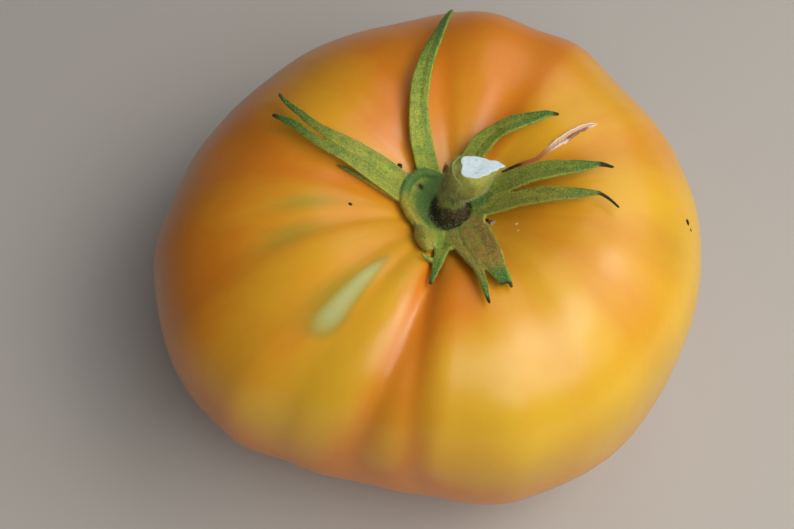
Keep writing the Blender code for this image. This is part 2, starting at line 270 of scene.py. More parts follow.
@dataclass(frozen=True)
class FruitShape:
    """The rule that the fruit's skin follows, before its grooves are cut."""

    equator_height: float = 29.4 * MM
    crown: float = 32.1 * MM
    keel: float = 30.7 * MM
    flank_roundness: float = 0.80
    crown_roundness: float = 0.80
    keel_roundness: float = 0.85
    basin_depth: float = 14.1 * MM
    basin_radius: float = 17.0 * MM
    stem_end: tuple[float, float] = (5.0 * MM, -3.3 * MM)
    stem_end_power: float = 1.5
    blossom_azimuth: float = 140.0
    blossom_offset: float = 18.5 * MM
    blossom_tip: float = math.tan(math.radians(6.0))
    blossom_power: float = 3.0
    blossom_dimple: float = 1.4 * MM
    blossom_dimple_radius: float = 4.0 * MM
    girth: tuple = round_table(
        (15, 52.5),
        (38, 50.8),
        (55, 51.5),
        (70, 51.9),
        (85, 51.6),
        (103, 49.6),
        (143, 48.8),
        (165, 48.8),
        (190, 51.8),
        (210, 53.1),
        (226, 52.2),
        (240, 49.1),
        (256, 48.3),
        (272, 50.0),
        (290, 52.8),
        (310, 53.7),
        (330, 53.0),
    )
    grooves: tuple[Groove, ...] = (
        Groove(257, 3.0, 1.5 * MM, -25, 90, -3),
        Groove(262, 3.0, 1.2 * MM, -40, 90, 6),
        Groove(297, 6.0, 0.7 * MM, 20, 90, 2),
        Groove(323, 8.0, 1.0 * MM, 0, 90, -3),
        Groove(343, 8.0, 0.9 * MM, 5, 90, 0),
        Groove(14, 8.0, 1.2 * MM, 0, 90, 0),
        Groove(60, 8.0, 1.8 * MM, -10, 90, 2),
        Groove(92, 8.0, 0.9 * MM, 0, 90, 0),
        Groove(112, 9.0, 0.8 * MM, -10, 90, 0),
        Groove(168, 8.0, 1.5 * MM, 0, 90, -20),
        Groove(203, 6.0, 0.9 * MM, 0, 90, 3),
        Groove(229, 6.0, 0.9 * MM, 10, 90, 8),
        Groove(241, 4.0, 0.5 * MM, 25, 90, 2),
        Groove(18, 12.0, 0.8 * MM, -95, 10, 0),
        Groove(82, 12.0, 0.8 * MM, -95, 10, 0),
        Groove(140, 12.0, 0.9 * MM, -95, 10, 0),
        Groove(200, 12.0, 0.8 * MM, -95, 10, 0),
        Groove(262, 10.0, 0.9 * MM, -95, 10, 0),
    )
    swells: tuple[Swell, ...] = (
        Swell(55, 35, 12, 28, 2.4 * MM),
        Swell(75, 45, 12, 25, 2.2 * MM),
        Swell(137, 35, 16, 30, -1.5 * MM),
    )
    shoulder: float = 50.0
    fade_low: float = 45.0
    fade_high: float = 20.0

    def smooth_skin(self, azimuth: np.ndarray, latitude: np.ndarray) -> tuple[np.ndarray, np.ndarray]:
        """The skin with no grooves or swells.

        Args:
            azimuth: Degrees round the stem end.
            latitude: Degrees, -90 to 90.

        Returns:
            The points and the outward directions there.
        """
        turn, climb = np.radians(azimuth), np.radians(latitude)
        out, up = np.maximum(np.cos(climb), 0.0), np.sin(climb)
        reach = around(self.girth, azimuth)[0] * out**self.flank_roundness
        way = np.array(outward(self.blossom_azimuth))
        top = np.maximum(up, 0.0)
        end = np.maximum(-up, 0.0) ** self.blossom_power
        x = np.cos(turn) * reach + self.stem_end[0] * top**self.stem_end_power
        y = np.sin(turn) * reach + self.stem_end[1] * top**self.stem_end_power
        x += way[0] * self.blossom_offset * end
        y += way[1] * self.blossom_offset * end
        crown = self.crown * top**self.crown_roundness
        crown -= self.basin_depth * np.exp(-((reach / self.basin_radius) ** 2))
        keel = -self.keel * np.maximum(-up, 0.0) ** self.keel_roundness
        keel += (x * way[0] + y * way[1]) * self.blossom_tip * end
        keel += self.blossom_dimple * np.exp(-((reach / self.blossom_dimple_radius) ** 2))
        z = np.where(up >= 0, crown, keel) + self.equator_height
        facing = np.stack([np.cos(turn) * out, np.sin(turn) * out, up], -1)
        facing /= np.linalg.norm(facing, axis=-1, keepdims=True)
        return np.stack([x, y, z], -1), facing


class TreeName(Enum):
    """The Geometry Nodes trees that this part uses."""

    LOBES = "lobes_and_grooves"
    HAIRS = "hairs_on_green"


def lobe_tree(shape: FruitShape) -> bpy.types.NodeTree:
    """The tree that cuts the grooves between the lobes and raises the swells, each by the same rule.

    Args:
        shape: The fruit's sizes, with its lists of grooves and swells.

    Returns:
        A tree with the inputs Groove depth, Swell height and Skin. It leaves the attribute groove.
    """
    tree = bpy.data.node_groups.new(TreeName.LOBES.value, "GeometryNodeTree")
    tree.interface.new_socket("Geometry", in_out="OUTPUT", socket_type="NodeSocketGeometry")
    tree.interface.new_socket("Geometry", in_out="INPUT", socket_type="NodeSocketGeometry")
    tree.interface.new_socket("Groove depth", in_out="INPUT", socket_type="NodeSocketFloat")
    tree.interface.new_socket("Swell height", in_out="INPUT", socket_type="NodeSocketFloat")
    tree.interface.new_socket("Skin", in_out="INPUT", socket_type="NodeSocketMaterial")
    entry = add(tree, "NodeGroupInput")
    named = {}
    for name, kind in (("azimuth", "FLOAT"), ("latitude", "FLOAT"), ("facing", "FLOAT_VECTOR")):
        node = add(tree, "GeometryNodeInputNamedAttribute", {"Name": name}, data_type=kind)
        named[name] = node.outputs["Attribute"]

    def maths(operation: str, *values: bpy.types.NodeSocket | float) -> bpy.types.NodeSocket:
        """One step of the rule's arithmetic."""
        return add(tree, "ShaderNodeMath", dict(enumerate(values)), operation=operation).outputs[0]

    def faded(start: float, end: float) -> bpy.types.NodeSocket:
        """0 at the start latitude and 1 at the end one, eased."""
        links = {"Value": named["latitude"], "From Min": start, "From Max": end}
        return add(tree, "ShaderNodeMapRange", links, interpolation_type="SMOOTHSTEP").outputs[0]

    cut = None
    for groove in shape.grooves:
        slant = maths("MULTIPLY_ADD", named["latitude"], -groove.drift / shape.shoulder, groove.drift)
        away = maths("SUBTRACT", maths("SUBTRACT", named["azimuth"], slant), groove.azimuth)
        wrapped = maths("DIVIDE", maths("WRAP", away, 180.0, -180.0), groove.width)
        round_nose = maths("SQRT", maths("MULTIPLY_ADD", wrapped, wrapped, 1.0))
        crease = maths("EXPONENT", maths("SUBTRACT", 1.0, round_nose))
        low = faded(groove.low, groove.low + shape.fade_low)
        high = maths("SUBTRACT", 1.0, faded(groove.high - shape.fade_high, groove.high))
        dug = maths("MULTIPLY", maths("MULTIPLY", crease, groove.depth), maths("MULTIPLY", low, high))
        cut = dug if cut is None else maths("ADD", cut, dug)
    raised = None
    for swell in shape.swells:
        wide = maths("SUBTRACT", named["azimuth"], swell.azimuth)
        wide = maths("DIVIDE", maths("WRAP", wide, 180.0, -180.0), swell.wide)
        tall = maths("DIVIDE", maths("SUBTRACT", named["latitude"], swell.latitude), swell.tall)
        square = maths("MULTIPLY_ADD", wide, wide, maths("MULTIPLY", tall, tall))
        hill = maths("MULTIPLY", maths("EXPONENT", maths("MULTIPLY", square, -1.0)), swell.height)
        raised = hill if raised is None else maths("ADD", raised, hill)
    lowered = maths("MULTIPLY", cut, entry.outputs["Groove depth"])
    lifted = maths("MULTIPLY", raised, entry.outputs["Swell height"])
    move = maths("SUBTRACT", lifted, lowered)
    links = {0: named["facing"], "Scale": move}
    offset = add(tree, "ShaderNodeVectorMath", links, operation="SCALE").outputs[0]
    moved = add(tree, "GeometryNodeSetPosition", {"Geometry": entry.outputs["Geometry"], "Offset": offset})
    links = {"Geometry": moved.outputs[0], "Name": "groove", "Value": lowered}
    kept = add(tree, "GeometryNodeStoreNamedAttribute", links, data_type="FLOAT", domain="POINT")
    whole = add(tree, "GeometryNodeRealizeInstances", {"Geometry": kept.outputs[0]})
    links = {"Geometry": whole.outputs[0], "Material": entry.outputs["Skin"]}
    dressed = add(tree, "GeometryNodeSetMaterial", links)
    add(tree, "NodeGroupOutput", {"Geometry": dressed.outputs[0]})
    return tree


def hair_tree() -> bpy.types.NodeTree:
    """The tree that stands fine hairs on a surface, leaning every way.

    Returns:
        A tree with the inputs Per area, Length, Thickness, Lean, Where, Seed and Finish.
    """
    tree = bpy.data.node_groups.new(TreeName.HAIRS.value, "GeometryNodeTree")
    tree.interface.new_socket("Geometry", in_out="OUTPUT", socket_type="NodeSocketGeometry")
    tree.interface.new_socket("Geometry", in_out="INPUT", socket_type="NodeSocketGeometry")
    for name in ("Per area", "Length", "Thickness", "Lean"):
        tree.interface.new_socket(name, in_out="INPUT", socket_type="NodeSocketFloat")
    tree.interface.new_socket("Where", in_out="INPUT", socket_type="NodeSocketString")
    tree.interface.new_socket("Seed", in_out="INPUT", socket_type="NodeSocketInt")
    tree.interface.new_socket("Finish", in_out="INPUT", socket_type="NodeSocketMaterial")
    entry = add(tree, "NodeGroupInput")
    links = {"Name": entry.outputs["Where"]}
    where = add(tree, "GeometryNodeInputNamedAttribute", links, data_type="FLOAT")
    links = {0: entry.outputs["Per area"], 1: where.outputs["Attribute"]}
    density = add(tree, "ShaderNodeMath", links, operation="MULTIPLY")
    links = {
        "Mesh": entry.outputs["Geometry"],
        "Density": density.outputs[0],
        "Seed": entry.outputs["Seed"],
    }
    points = add(tree, "GeometryNodeDistributePointsOnFaces", links, distribute_method="RANDOM")
    links = {
        "Vertices": 3,
        "Radius Top": 0.0,
        "Radius Bottom": entry.outputs["Thickness"],
        "Depth": entry.outputs["Length"],
    }
    hair = add(tree, "GeometryNodeMeshCone", links, fill_type="NGON")
    lean = entry.outputs["Lean"]
    minus = add(tree, "ShaderNodeMath", {0: lean, 1: -1.0}, operation="MULTIPLY").outputs[0]
    low = add(tree, "ShaderNodeCombineXYZ", {"X": minus, "Y": minus, "Z": -math.pi}).outputs[0]
    high = add(tree, "ShaderNodeCombineXYZ", {"X": lean, "Y": lean, "Z": math.pi}).outputs[0]
    links = {0: low, 1: high, "Seed": entry.outputs["Seed"]}
    tilt = add(tree, "FunctionNodeRandomValue", links, data_type="FLOAT_VECTOR")
    links = {"Rotation": points.outputs["Rotation"], "Rotate By": tilt.outputs[0]}
    turned = add(tree, "FunctionNodeRotateRotation", links, rotation_space="LOCAL")
    links = {2: SHORTEST_HAIR, 3: LONGEST_HAIR, "Seed": entry.outputs["Seed"]}
    size = add(tree, "FunctionNodeRandomValue", links, data_type="FLOAT")
    links = {
        "Points": points.outputs["Points"],
        "Instance": hair.outputs["Mesh"],
        "Rotation": turned.outputs[0],
        "Scale": size.outputs[1],
    }
    stood = add(tree, "GeometryNodeInstanceOnPoints", links)
    whole = add(tree, "GeometryNodeRealizeInstances", {"Geometry": stood.outputs[0]})
    links = {"Geometry": whole.outputs[0], "Material": entry.outputs["Finish"]}
    dressed = add(tree, "GeometryNodeSetMaterial", links)
    add(tree, "NodeGroupOutput", {"Geometry": dressed.outputs[0]})
    return tree


def new_material(name: str) -> tuple[bpy.types.Material, bpy.types.NodeTree, bpy.types.Node]:
    """An empty Principled material.

    Args:
        name: What the real stuff is.

    Returns:
        The material, its node tree and its Principled shader.
    """
    made = bpy.data.materials.new(name)
    made.use_nodes = True
    tree = made.node_tree
    return made, tree, tree.nodes["Principled BSDF"]


class Palette:
    """Small steps that every finish takes in its own node tree."""

    def __init__(self, tree: bpy.types.NodeTree) -> None:
        """Keeps the tree."""
        self.tree = tree

    def maths(self, operation: str, *values: bpy.types.NodeSocket | float) -> bpy.types.NodeSocket:
        """One step of arithmetic, kept from 0 to 1."""
        links = dict(enumerate(values))
        return add(self.tree, "ShaderNodeMath", links, operation=operation, use_clamp=True).outputs[0]

    def ramp(self, value: bpy.types.NodeSocket, start: float, end: float) -> bpy.types.NodeSocket:
        """0 where value is at the start and 1 at the end, eased."""
        links = {"Value": value, "From Min": start, "From Max": end}
        return add(self.tree, "ShaderNodeMapRange", links, interpolation_type="SMOOTHSTEP").outputs[0]

    def noise(self, vector: bpy.types.NodeSocket, scale: float, detail: float) -> bpy.types.NodeSocket:
        """A soft noise from 0 to 1."""
        links = {"Vector": vector, "Scale": scale, "Detail": detail, "Roughness": 0.6}
        return add(self.tree, "ShaderNodeTexNoise", links).outputs[0]

    def start(self, one: str, other: str, share: bpy.types.NodeSocket) -> bpy.types.NodeSocket:
        """A mix of two pigments."""
        links = {0: share, 6: linear(one), 7: linear(other)}
        return add(self.tree, "ShaderNodeMix", links, data_type="RGBA").outputs[2]

    def both(self, one: bpy.types.NodeSocket, other: bpy.types.NodeSocket | float) -> bpy.types.NodeSocket:
        """Two shares multiplied."""
        return self.maths("MULTIPLY", one, other)

    def ragged(
        self, share: bpy.types.NodeSocket, noise_value: bpy.types.NodeSocket, much: float
    ) -> bpy.types.NodeSocket:
        """A share that a noise raises in patches, which makes its edges uneven.

        Args:
            share: What is made uneven.
            noise_value: A noise from 0 to 1, which counts where it is over a half.
            much: How much of what is over a half is added.

        Returns:
            The uneven share.
        """
        return self.maths("MULTIPLY_ADD", self.maths("SUBTRACT", noise_value, 0.5), much, share)

    def scaled(self, value: bpy.types.NodeSocket, times: float, plus: float) -> bpy.types.NodeSocket:
        """A value times one number plus another, not kept from 0 to 1."""
        links = {0: value, 1: times, 2: plus}
        return add(self.tree, "ShaderNodeMath", links, operation="MULTIPLY_ADD").outputs[0]

    def lay(
        self,
        under: bpy.types.NodeSocket,
        over: str | bpy.types.NodeSocket,
        share: bpy.types.NodeSocket,
    ) -> bpy.types.NodeSocket:
        """One pigment laid over what is there."""
        links = {0: share, 6: under, 7: linear(over) if isinstance(over, str) else over}
        return add(self.tree, "ShaderNodeMix", links, data_type="RGBA").outputs[2]

    def wash(
        self,
        under: bpy.types.NodeSocket,
        over: str,
        value: bpy.types.NodeSocket,
        span: tuple[float, float],
        much: float,
    ) -> bpy.types.NodeSocket:
        """One pigment laid over what is there, more and more as a value passes a span.

        Args:
            under: The colour that is there.
            over: The pigment.
            value: What decides where it lies.
            span: The value where it starts and the value where it is full.
            much: How well it covers where it is full.

        Returns:
            The new colour.
        """
        return self.lay(under, over, self.both(self.ramp(value, *span), much))

    def bump(self, height: bpy.types.NodeSocket, distance: float, strength: float) -> bpy.types.NodeSocket:
        """A normal that a height makes uneven, by a distance in metres."""
        links = {"Height": height, "Distance": distance, "Strength": strength}
        return add(self.tree, "ShaderNodeBump", links).outputs[0]


@dataclass(frozen=True)
class WaxySkin:
    """Ripe tomato skin: a thin clear cuticle over pigmented flesh, which glows a little under the light."""

    gold: str = "#EEBF2E"
    orange: str = "#E2861C"
    unripe: str = "#C3C57A"
    core: str = "#D5D79C"
    olive: str = "#A89C34"
    cork: str = "#5E3C22"
    pore: str = "#F4CF86"
    cuticle_ior: float = 1.45
    roughness: float = 0.34
    gloss: float = 0.40
    gloss_blur: float = 0.24
    specks: tuple = (
        (-4.4 * MM, 3.5 * MM, 52.1 * MM, 0.70 * MM, "#20140A"),
        (-13.1 * MM, -7.1 * MM, 55.4 * MM, 0.45 * MM, "#4A2A10"),
        (47.6 * MM, -6.1 * MM, 48.2 * MM, 0.75 * MM, "#20140A"),
        (48.2 * MM, -7.2 * MM, 47.2 * MM, 0.40 * MM, "#20140A"),
        (16.2 * MM, -9.6 * MM, 52.7 * MM, 0.40 * MM, "#FBDD96"),
        (16.3 * MM, -11.4 * MM, 53.3 * MM, 0.30 * MM, "#F8CE78"),
        (10.9 * MM, -6.8 * MM, 49.2 * MM, 0.95 * MM, "#1E140A"),
        (12.3 * MM, -7.6 * MM, 50.0 * MM, 0.70 * MM, "#CDBEB0"),
    )

    def material(self) -> bpy.types.Material:
        """The finish, reading the attributes blush, unripe, olive, corky and flow."""
        made, tree, shader = new_material("ripe_tomato_skin")
        paint = Palette(tree)
        place = add(tree, "ShaderNodeTexCoord").outputs["Object"]
        read = {}
        for name in ("blush", "unripe", "olive", "corky", "flow"):
            node = add(tree, "ShaderNodeAttribute", attribute_name=name)
            read[name] = node.outputs["Vector" if name == "flow" else "Fac"]
        # Pigment lies in soft clouds a centimetre or two across, and in streaks from stem to blossom end
        cloud = paint.noise(place, 1 / (16 * MM), 3.0)
        streak = paint.noise(read["flow"], 1.6, 4.0)
        # The blush attribute holds the skin's own orange and also painted shade and painted light on its
        # sides
        blush = paint.maths("MULTIPLY_ADD", paint.ramp(cloud, 0.3, 0.75), 0.20, read["blush"])
        blush = paint.maths("MULTIPLY_ADD", paint.ramp(streak, 0.35, 0.75), 0.14, blush)
        colour = paint.start(self.gold, self.orange, blush)
        streaky = paint.both(read["olive"], paint.ramp(streak, 0.2, 0.55))
        colour = paint.lay(colour, self.olive, paint.both(streaky, 0.75))
        # An unripe patch is olive at its edge, pale green inside and nearly white in its core
        patch = paint.ragged(read["unripe"], cloud, 0.4)
        colour = paint.wash(colour, self.olive, patch, (0.05, 0.45), 0.55)
        colour = paint.wash(colour, self.unripe, patch, (0.25, 0.85), 0.80)
        colour = paint.wash(colour, self.core, patch, (0.75, 1.0), 0.30)
        # Pale pores a quarter of a millimetre wide, a couple of millimetres apart
        links = {"Vector": place, "Scale": 1 / (2.2 * MM), "Randomness": 1.0}
        pores = add(tree, "ShaderNodeTexVoronoi", links).outputs["Distance"]
        colour = paint.wash(colour, self.pore, pores, (0.09, 0.03), 0.18)
        # Brown cork by the stem end, and crumbs of soil: both matt, with uneven edges
        grain = paint.noise(place, 1 / (0.6 * MM), 3.0)
        corky = paint.ragged(read["corky"], grain, 0.8)
        colour = paint.wash(colour, self.cork, corky, (0.3, 0.6), 0.90)
        matt = paint.ramp(corky, 0.3, 0.6)
        crumbly = paint.scaled(grain, 0.8, 0.6)
        for x, y, z, radius, pigment in self.specks:
            away = add(tree, "ShaderNodeVectorMath", {0: place, 1: (x, y, z)}, operation="DISTANCE")
            links = {0: away.outputs["Value"], 1: crumbly}
            uneven = add(tree, "ShaderNodeMath", links, operation="MULTIPLY").outputs[0]
            dot = paint.ramp(uneven, radius, radius * 0.6)
            colour = paint.lay(colour, pigment, dot)
            matt = paint.maths("MAXIMUM", matt, dot)
        tree.links.new(colour, shader.inputs["Base Color"])
        # Cuticle: glossy but blurred by its wax
        dulled = paint.maths("MULTIPLY_ADD", paint.ramp(cloud, 0.3, 0.7), 0.06, self.roughness)
        tree.links.new(dulled, shader.inputs["Roughness"])
        shader.inputs["IOR"].default_value = self.cuticle_ior
        shader.inputs["Subsurface Weight"].default_value = 0.14
        shader.inputs["Subsurface Radius"].default_value = (1.0, 0.5, 0.15)
        shader.inputs["Subsurface Scale"].default_value = 2.0 * MM
        tree.links.new(paint.scaled(matt, -self.gloss, self.gloss), shader.inputs["Coat Weight"])
        tree.links.new(paint.scaled(matt, -0.45, 0.50), shader.inputs["Specular IOR Level"])
        shader.inputs["Coat Roughness"].default_value = self.gloss_blur
        # Skin cells show as a fine unevenness under a millimetre across
        cells = paint.noise(place, 1 / (0.7 * MM), 2.0)
        tree.links.new(paint.bump(cells, 0.03 * MM, 0.4), shader.inputs["Normal"])
        return made


@dataclass(frozen=True)
class GreenLeaf:
    """Tomato sepal: a soft green leaf with a pale midrib, velvety with hair and drying brown at the tip."""

    green: str = "#72993A"
    deep: str = "#34702C"
    yellow: str = "#C0C840"
    golden: str = "#B49C3C"
    tan: str = "#B2843A"
    dry: str = "#22170C"
    # Dark green for painted shade, laid in the cup round the stem and on the upper side of the rolled rim
    hollow: str = "#4B7A3A"
    speck: str = "#34501F"
    roughness: float = 0.62

    def material(self) -> bpy.types.Material:
        """The finish, reading the attributes along, across, tone, fleshy, pit, dried and tanned."""
        made, tree, shader = new_material("haired_sepal_leaf")
        paint = Palette(tree)
        place = add(tree, "ShaderNodeTexCoord").outputs["Object"]
        read = {}
        for name in ("along", "across", "tone", "fleshy", "pit", "dried", "tanned"):
            read[name] = add(tree, "ShaderNodeAttribute", attribute_name=name).outputs["Fac"]
        # Veins run along the blade about half a millimetre apart
        links = {"X": read["along"], "Y": read["across"], "Z": read["tone"]}
        vein_way = add(tree, "ShaderNodeCombineXYZ", links).outputs[0]
        links = {"Vector": vein_way, "Scale": (3.0, 2.4, 7.0)}
        stretched = add(tree, "ShaderNodeMapping", links).outputs[0]
        veins = paint.noise(stretched, 1.4, 4.0)
        mottle = paint.noise(place, 1 / (1.6 * MM), 3.0)
        # Hair roots and their shadows speckle it a quarter of a millimetre apart
        speckle = paint.noise(place, 1 / (0.28 * MM), 2.0)
        colour = paint.start(self.green, self.yellow, paint.both(paint.ramp(veins, 0.35, 0.75), 0.55))
        # Painted light: one side of each blade is laid yellower and the other side left darker, as the
        # light falls across it
        colour = paint.wash(colour, self.yellow, read["across"], (0.9, -0.9), 0.30)
        edge = paint.maths("ABSOLUTE", read["across"])
        # Darker green towards the tip, and tan where the blade has begun to wither
        late = paint.ragged(read["along"], mottle, 0.5)
        broad = paint.noise(place, 1 / (4 * MM), 2.0)
        withered = paint.both(paint.ramp(broad, 0.20, 0.52), paint.ramp(read["along"], 0.94, 0.64))
        colour = paint.wash(colour, self.deep, late, (0.35, 0.85), 0.90)
        colour = paint.lay(colour, self.tan, paint.both(withered, read["tanned"]))
        # The midrib is pale, and the thin margin is painted paler as a painted rim light
        rib = paint.maths("SUBTRACT", 1.0, paint.ramp(edge, 0.0, 0.25))
        rib = paint.both(rib, paint.maths("SUBTRACT", 1.0, read["along"]))
        colour = paint.lay(colour, self.yellow, paint.both(rib, 0.35))
        colour = paint.wash(colour, self.yellow, edge, (0.72, 0.95), 0.45)
        colour = paint.lay(colour, self.golden, paint.both(read["fleshy"], 0.75))
        colour = paint.wash(colour, self.deep, mottle, (0.45, 0.70), 0.42)
        colour = paint.wash(colour, self.speck, speckle, (0.53, 0.70), 0.70)
        colour = paint.wash(colour, self.yellow, speckle, (0.46, 0.30), 0.55)
        # Painted shade: dark green in the cup round the stem and on the upper side of the rolled rim
        colour = paint.wash(colour, self.hollow, read["pit"], (0.1, 0.9), 0.85)
        colour = paint.lay(colour, self.dry, paint.both(read["dried"], 0.95))
        tree.links.new(colour, shader.inputs["Base Color"])
        shader.inputs["Roughness"].default_value = self.roughness
        shader.inputs["IOR"].default_value = 1.4
        shader.inputs["Subsurface Weight"].default_value = 0.10
        shader.inputs["Subsurface Radius"].default_value = (0.6, 1.0, 0.2)
        shader.inputs["Subsurface Scale"].default_value = 0.6 * MM
        shader.inputs["Sheen Weight"].default_value = 0.08
        shader.inputs["Sheen Roughness"].default_value = 0.5
        shader.inputs["Sheen Tint"].default_value = linear("#DDE3B0")
        relief = add(tree, "ShaderNodeMath", {0: veins, 1: 1.2, 2: speckle}, operation="MULTIPLY_ADD")
        tree.links.new(paint.bump(relief.outputs[0], 0.12 * MM, 0.8), shader.inputs["Normal"])
        return made


@dataclass(frozen=True)
class GreenStalk:
    """Tomato stalk: green and ridged, haired, white and fibrous where it is cut, corky at the foot."""

    green: str = "#66792F"
    yellow: str = "#B3B24C"
    cut_white: str = "#DCEEF3"
    cut_grey: str = "#8EA49A"
    cork: str = "#1E160B"
    cork_pale: str = "#8A6B30"
    roughness: float = 0.6

    def material(self) -> bpy.types.Material:
        """The finish, reading the attributes along and cut."""
        made, tree, shader = new_material("cut_tomato_stalk")
        paint = Palette(tree)
        place = add(tree, "ShaderNodeTexCoord").outputs["Object"]
        read = {}
        for name in ("along", "cut"):
            read[name] = add(tree, "ShaderNodeAttribute", attribute_name=name).outputs["Fac"]
        mottle = paint.noise(place, 1 / (1.0 * MM), 4.0)
        # Fibres show as streaks half a millimetre apart up the stalk
        drawn = add(tree, "ShaderNodeMapping", {"Vector": place, "Scale": (1.0, 1.0, 0.22)}).outputs[0]
        fibre = paint.noise(drawn, 1 / (0.7 * MM), 3.0)
        speckle = paint.noise(place, 1 / (0.26 * MM), 2.0)
        colour = paint.start(self.green, self.yellow, paint.both(paint.ramp(fibre, 0.4, 0.7), 0.5))
        knuckle = paint.ragged(read["along"], mottle, 0.2)
        colour = paint.wash(colour, self.yellow, knuckle, (0.70, 0.92), 0.75)
        colour = paint.wash(colour, self.cork, speckle, (0.52, 0.72), 0.35)
        # Dark cork with pale flecks covers the foot
        corked = paint.ragged(read["along"], mottle, 0.15)
        bark = paint.maths("SUBTRACT", 1.0, paint.ramp(corked, 0.27, 0.38))
        colour = paint.lay(colour, self.cork, paint.both(bark, 0.97))
        flecks = paint.both(bark, paint.ramp(speckle, 0.52, 0.62))
        colour = paint.lay(colour, self.cork_pale, paint.both(flecks, 0.7))
        # The cut: white pith and dried sap, greyer where the vessels are
        white = paint.start(self.cut_white, self.cut_grey, paint.both(paint.ramp(mottle, 0.55, 0.75), 0.7))
        colour = paint.lay(colour, white, read["cut"])
        tree.links.new(colour, shader.inputs["Base Color"])
        shader.inputs["Roughness"].default_value = self.roughness
        shader.inputs["IOR"].default_value = 1.4
        shader.inputs["Subsurface Weight"].default_value = 0.12
        shader.inputs["Subsurface Radius"].default_value = (0.7, 1.0, 0.3)
        shader.inputs["Subsurface Scale"].default_value = 0.6 * MM
        shader.inputs["Sheen Weight"].default_value = 0.2
        shader.inputs["Sheen Roughness"].default_value = 0.5
        shader.inputs["Sheen Tint"].default_value = linear("#E4E6B8")
        relief = add(tree, "ShaderNodeMath", {0: fibre, 1: 1.0, 2: speckle}, operation="MULTIPLY_ADD")
        tree.links.new(paint.bump(relief.outputs[0], 0.15 * MM, 0.8), shader.inputs["Normal"])
        return made


@dataclass(frozen=True)
class HealedTissue:
    """A healed growth crack: dry corky tissue, pinkish and dull, brown down in its slit."""

    slit: str = "#4A1E0A"
    scarred: str = "#C0743A"
    tissue: str = "#DEB48E"
    rim: str = "#F6EEDF"
    shade: str = "#8A5526"
    roughness: float = 0.7

    def material(self) -> bpy.types.Material:
        """The finish, reading the attributes along and across."""
        made, tree, shader = new_material("healed_crack_tissue")
        paint = Palette(tree)
        place = add(tree, "ShaderNodeTexCoord").outputs["Object"]
        along = add(tree, "ShaderNodeAttribute", attribute_name="along").outputs["Fac"]
        across = add(tree, "ShaderNodeAttribute", attribute_name="across").outputs["Fac"]
        # Torn fibres a third of a millimetre wide
        torn = paint.noise(place, 1 / (0.45 * MM), 4.0)
        wavy = paint.ragged(along, torn, 0.12)
        colour = paint.start(self.slit, self.scarred, paint.ramp(wavy, 0.16, 0.27))
        colour = paint.lay(colour, self.tissue, paint.ramp(wavy, 0.40, 0.52))
        # Pale lips run along the torn lens, just inside its edges
        lens = paint.ramp(along, 0.44, 0.52)
        edge = paint.maths("ABSOLUTE", across)
        inside = paint.maths("SUBTRACT", 1.0, paint.ramp(edge, 0.8, 0.95))
        lips = paint.both(paint.ramp(edge, 0.38, 0.55), inside)
        colour = paint.lay(colour, self.rim, paint.both(paint.both(lips, lens), 0.8))
        # Its near half is brown and shaded in the middle
        middle = paint.both(paint.ramp(along, 0.62, 0.68), paint.ramp(along, 0.93, 0.86))
        shaded = paint.both(middle, paint.ramp(across, 0.15, -0.25))
        colour = paint.lay(colour, self.shade, paint.both(shaded, 0.85))
        colour = paint.wash(colour, self.shade, torn, (0.56, 0.74), 0.45)
        tree.links.new(colour, shader.inputs["Base Color"])
        shader.inputs["Roughness"].default_value = self.roughness
        shader.inputs["Subsurface Weight"].default_value = 0.1
        shader.inputs["Subsurface Scale"].default_value = 0.5 * MM
        tree.links.new(paint.bump(torn, 0.15 * MM, 0.9), shader.inputs["Normal"])
        return made


@dataclass(frozen=True)
class PlantHair:
    """Fine plant hair: short clear bristles that catch the light as a pale down."""

    name: str = "plant_hair"
    pale: str = "#C9CE8E"
    dark: str = "#7F8A45"
    roughness: float = 0.45

    def material(self) -> bpy.types.Material:
        """The finish, paler and darker in patches of a millimetre and a half."""
        made, tree, shader = new_material(self.name)
        paint = Palette(tree)
        place = add(tree, "ShaderNodeTexCoord").outputs["Object"]
        patchy = paint.noise(place, 1 / (1.5 * MM), 2.0)
        tree.links.new(paint.start(self.dark, self.pale, patchy), shader.inputs["Base Color"])
        shader.inputs["Roughness"].default_value = self.roughness
        return made


class Skin:
    """Reads the height and the slope of the fruit's upper skin, for what lies on it."""

    ABOVE = 200.0 * MM
    SLOPE_STEP = 1.5 * MM

    def __init__(self, fruit: bpy.types.Object) -> None:
        """Keeps a search tree of the fruit's faces."""
        corners = [tuple(point) for point in read_points(fruit.data)]
        self.tree = BVHTree.FromPolygons(corners, [face.vertices for face in fruit.data.polygons])

    def height(self, place: Vector) -> float:
        """Height of the skin over a place on the ground plan."""
        return self.tree.ray_cast(Vector((place.x, place.y, self.ABOVE)), Vector((0, 0, -1)))[0].z

    def above(self, place: Vector, lift: float) -> Vector:
        """The point that is lift over the skin there."""
        return Vector((place.x, place.y, self.height(place) + lift))

    def slope(self, place: Vector) -> Vector:
        """The upward normal, averaged over a few millimetres."""
        east, north = Vector((self.SLOPE_STEP, 0)), Vector((0, self.SLOPE_STEP))
        rise_east = self.height(place + east) - self.height(place - east)
        rise_north = self.height(place + north) - self.height(place - north)
        return Vector((-rise_east, -rise_north, 2 * self.SLOPE_STEP)).normalized()


class Fade(NamedTuple):
    """How a tint comes in: where it starts, how far on it is full, and how strong it is then."""

    start: float
    span: float
    much: float

    def share(self, value: np.ndarray) -> np.ndarray:
        """How strong the tint is at each value."""
        return eased((value - self.start) / self.span) * self.much


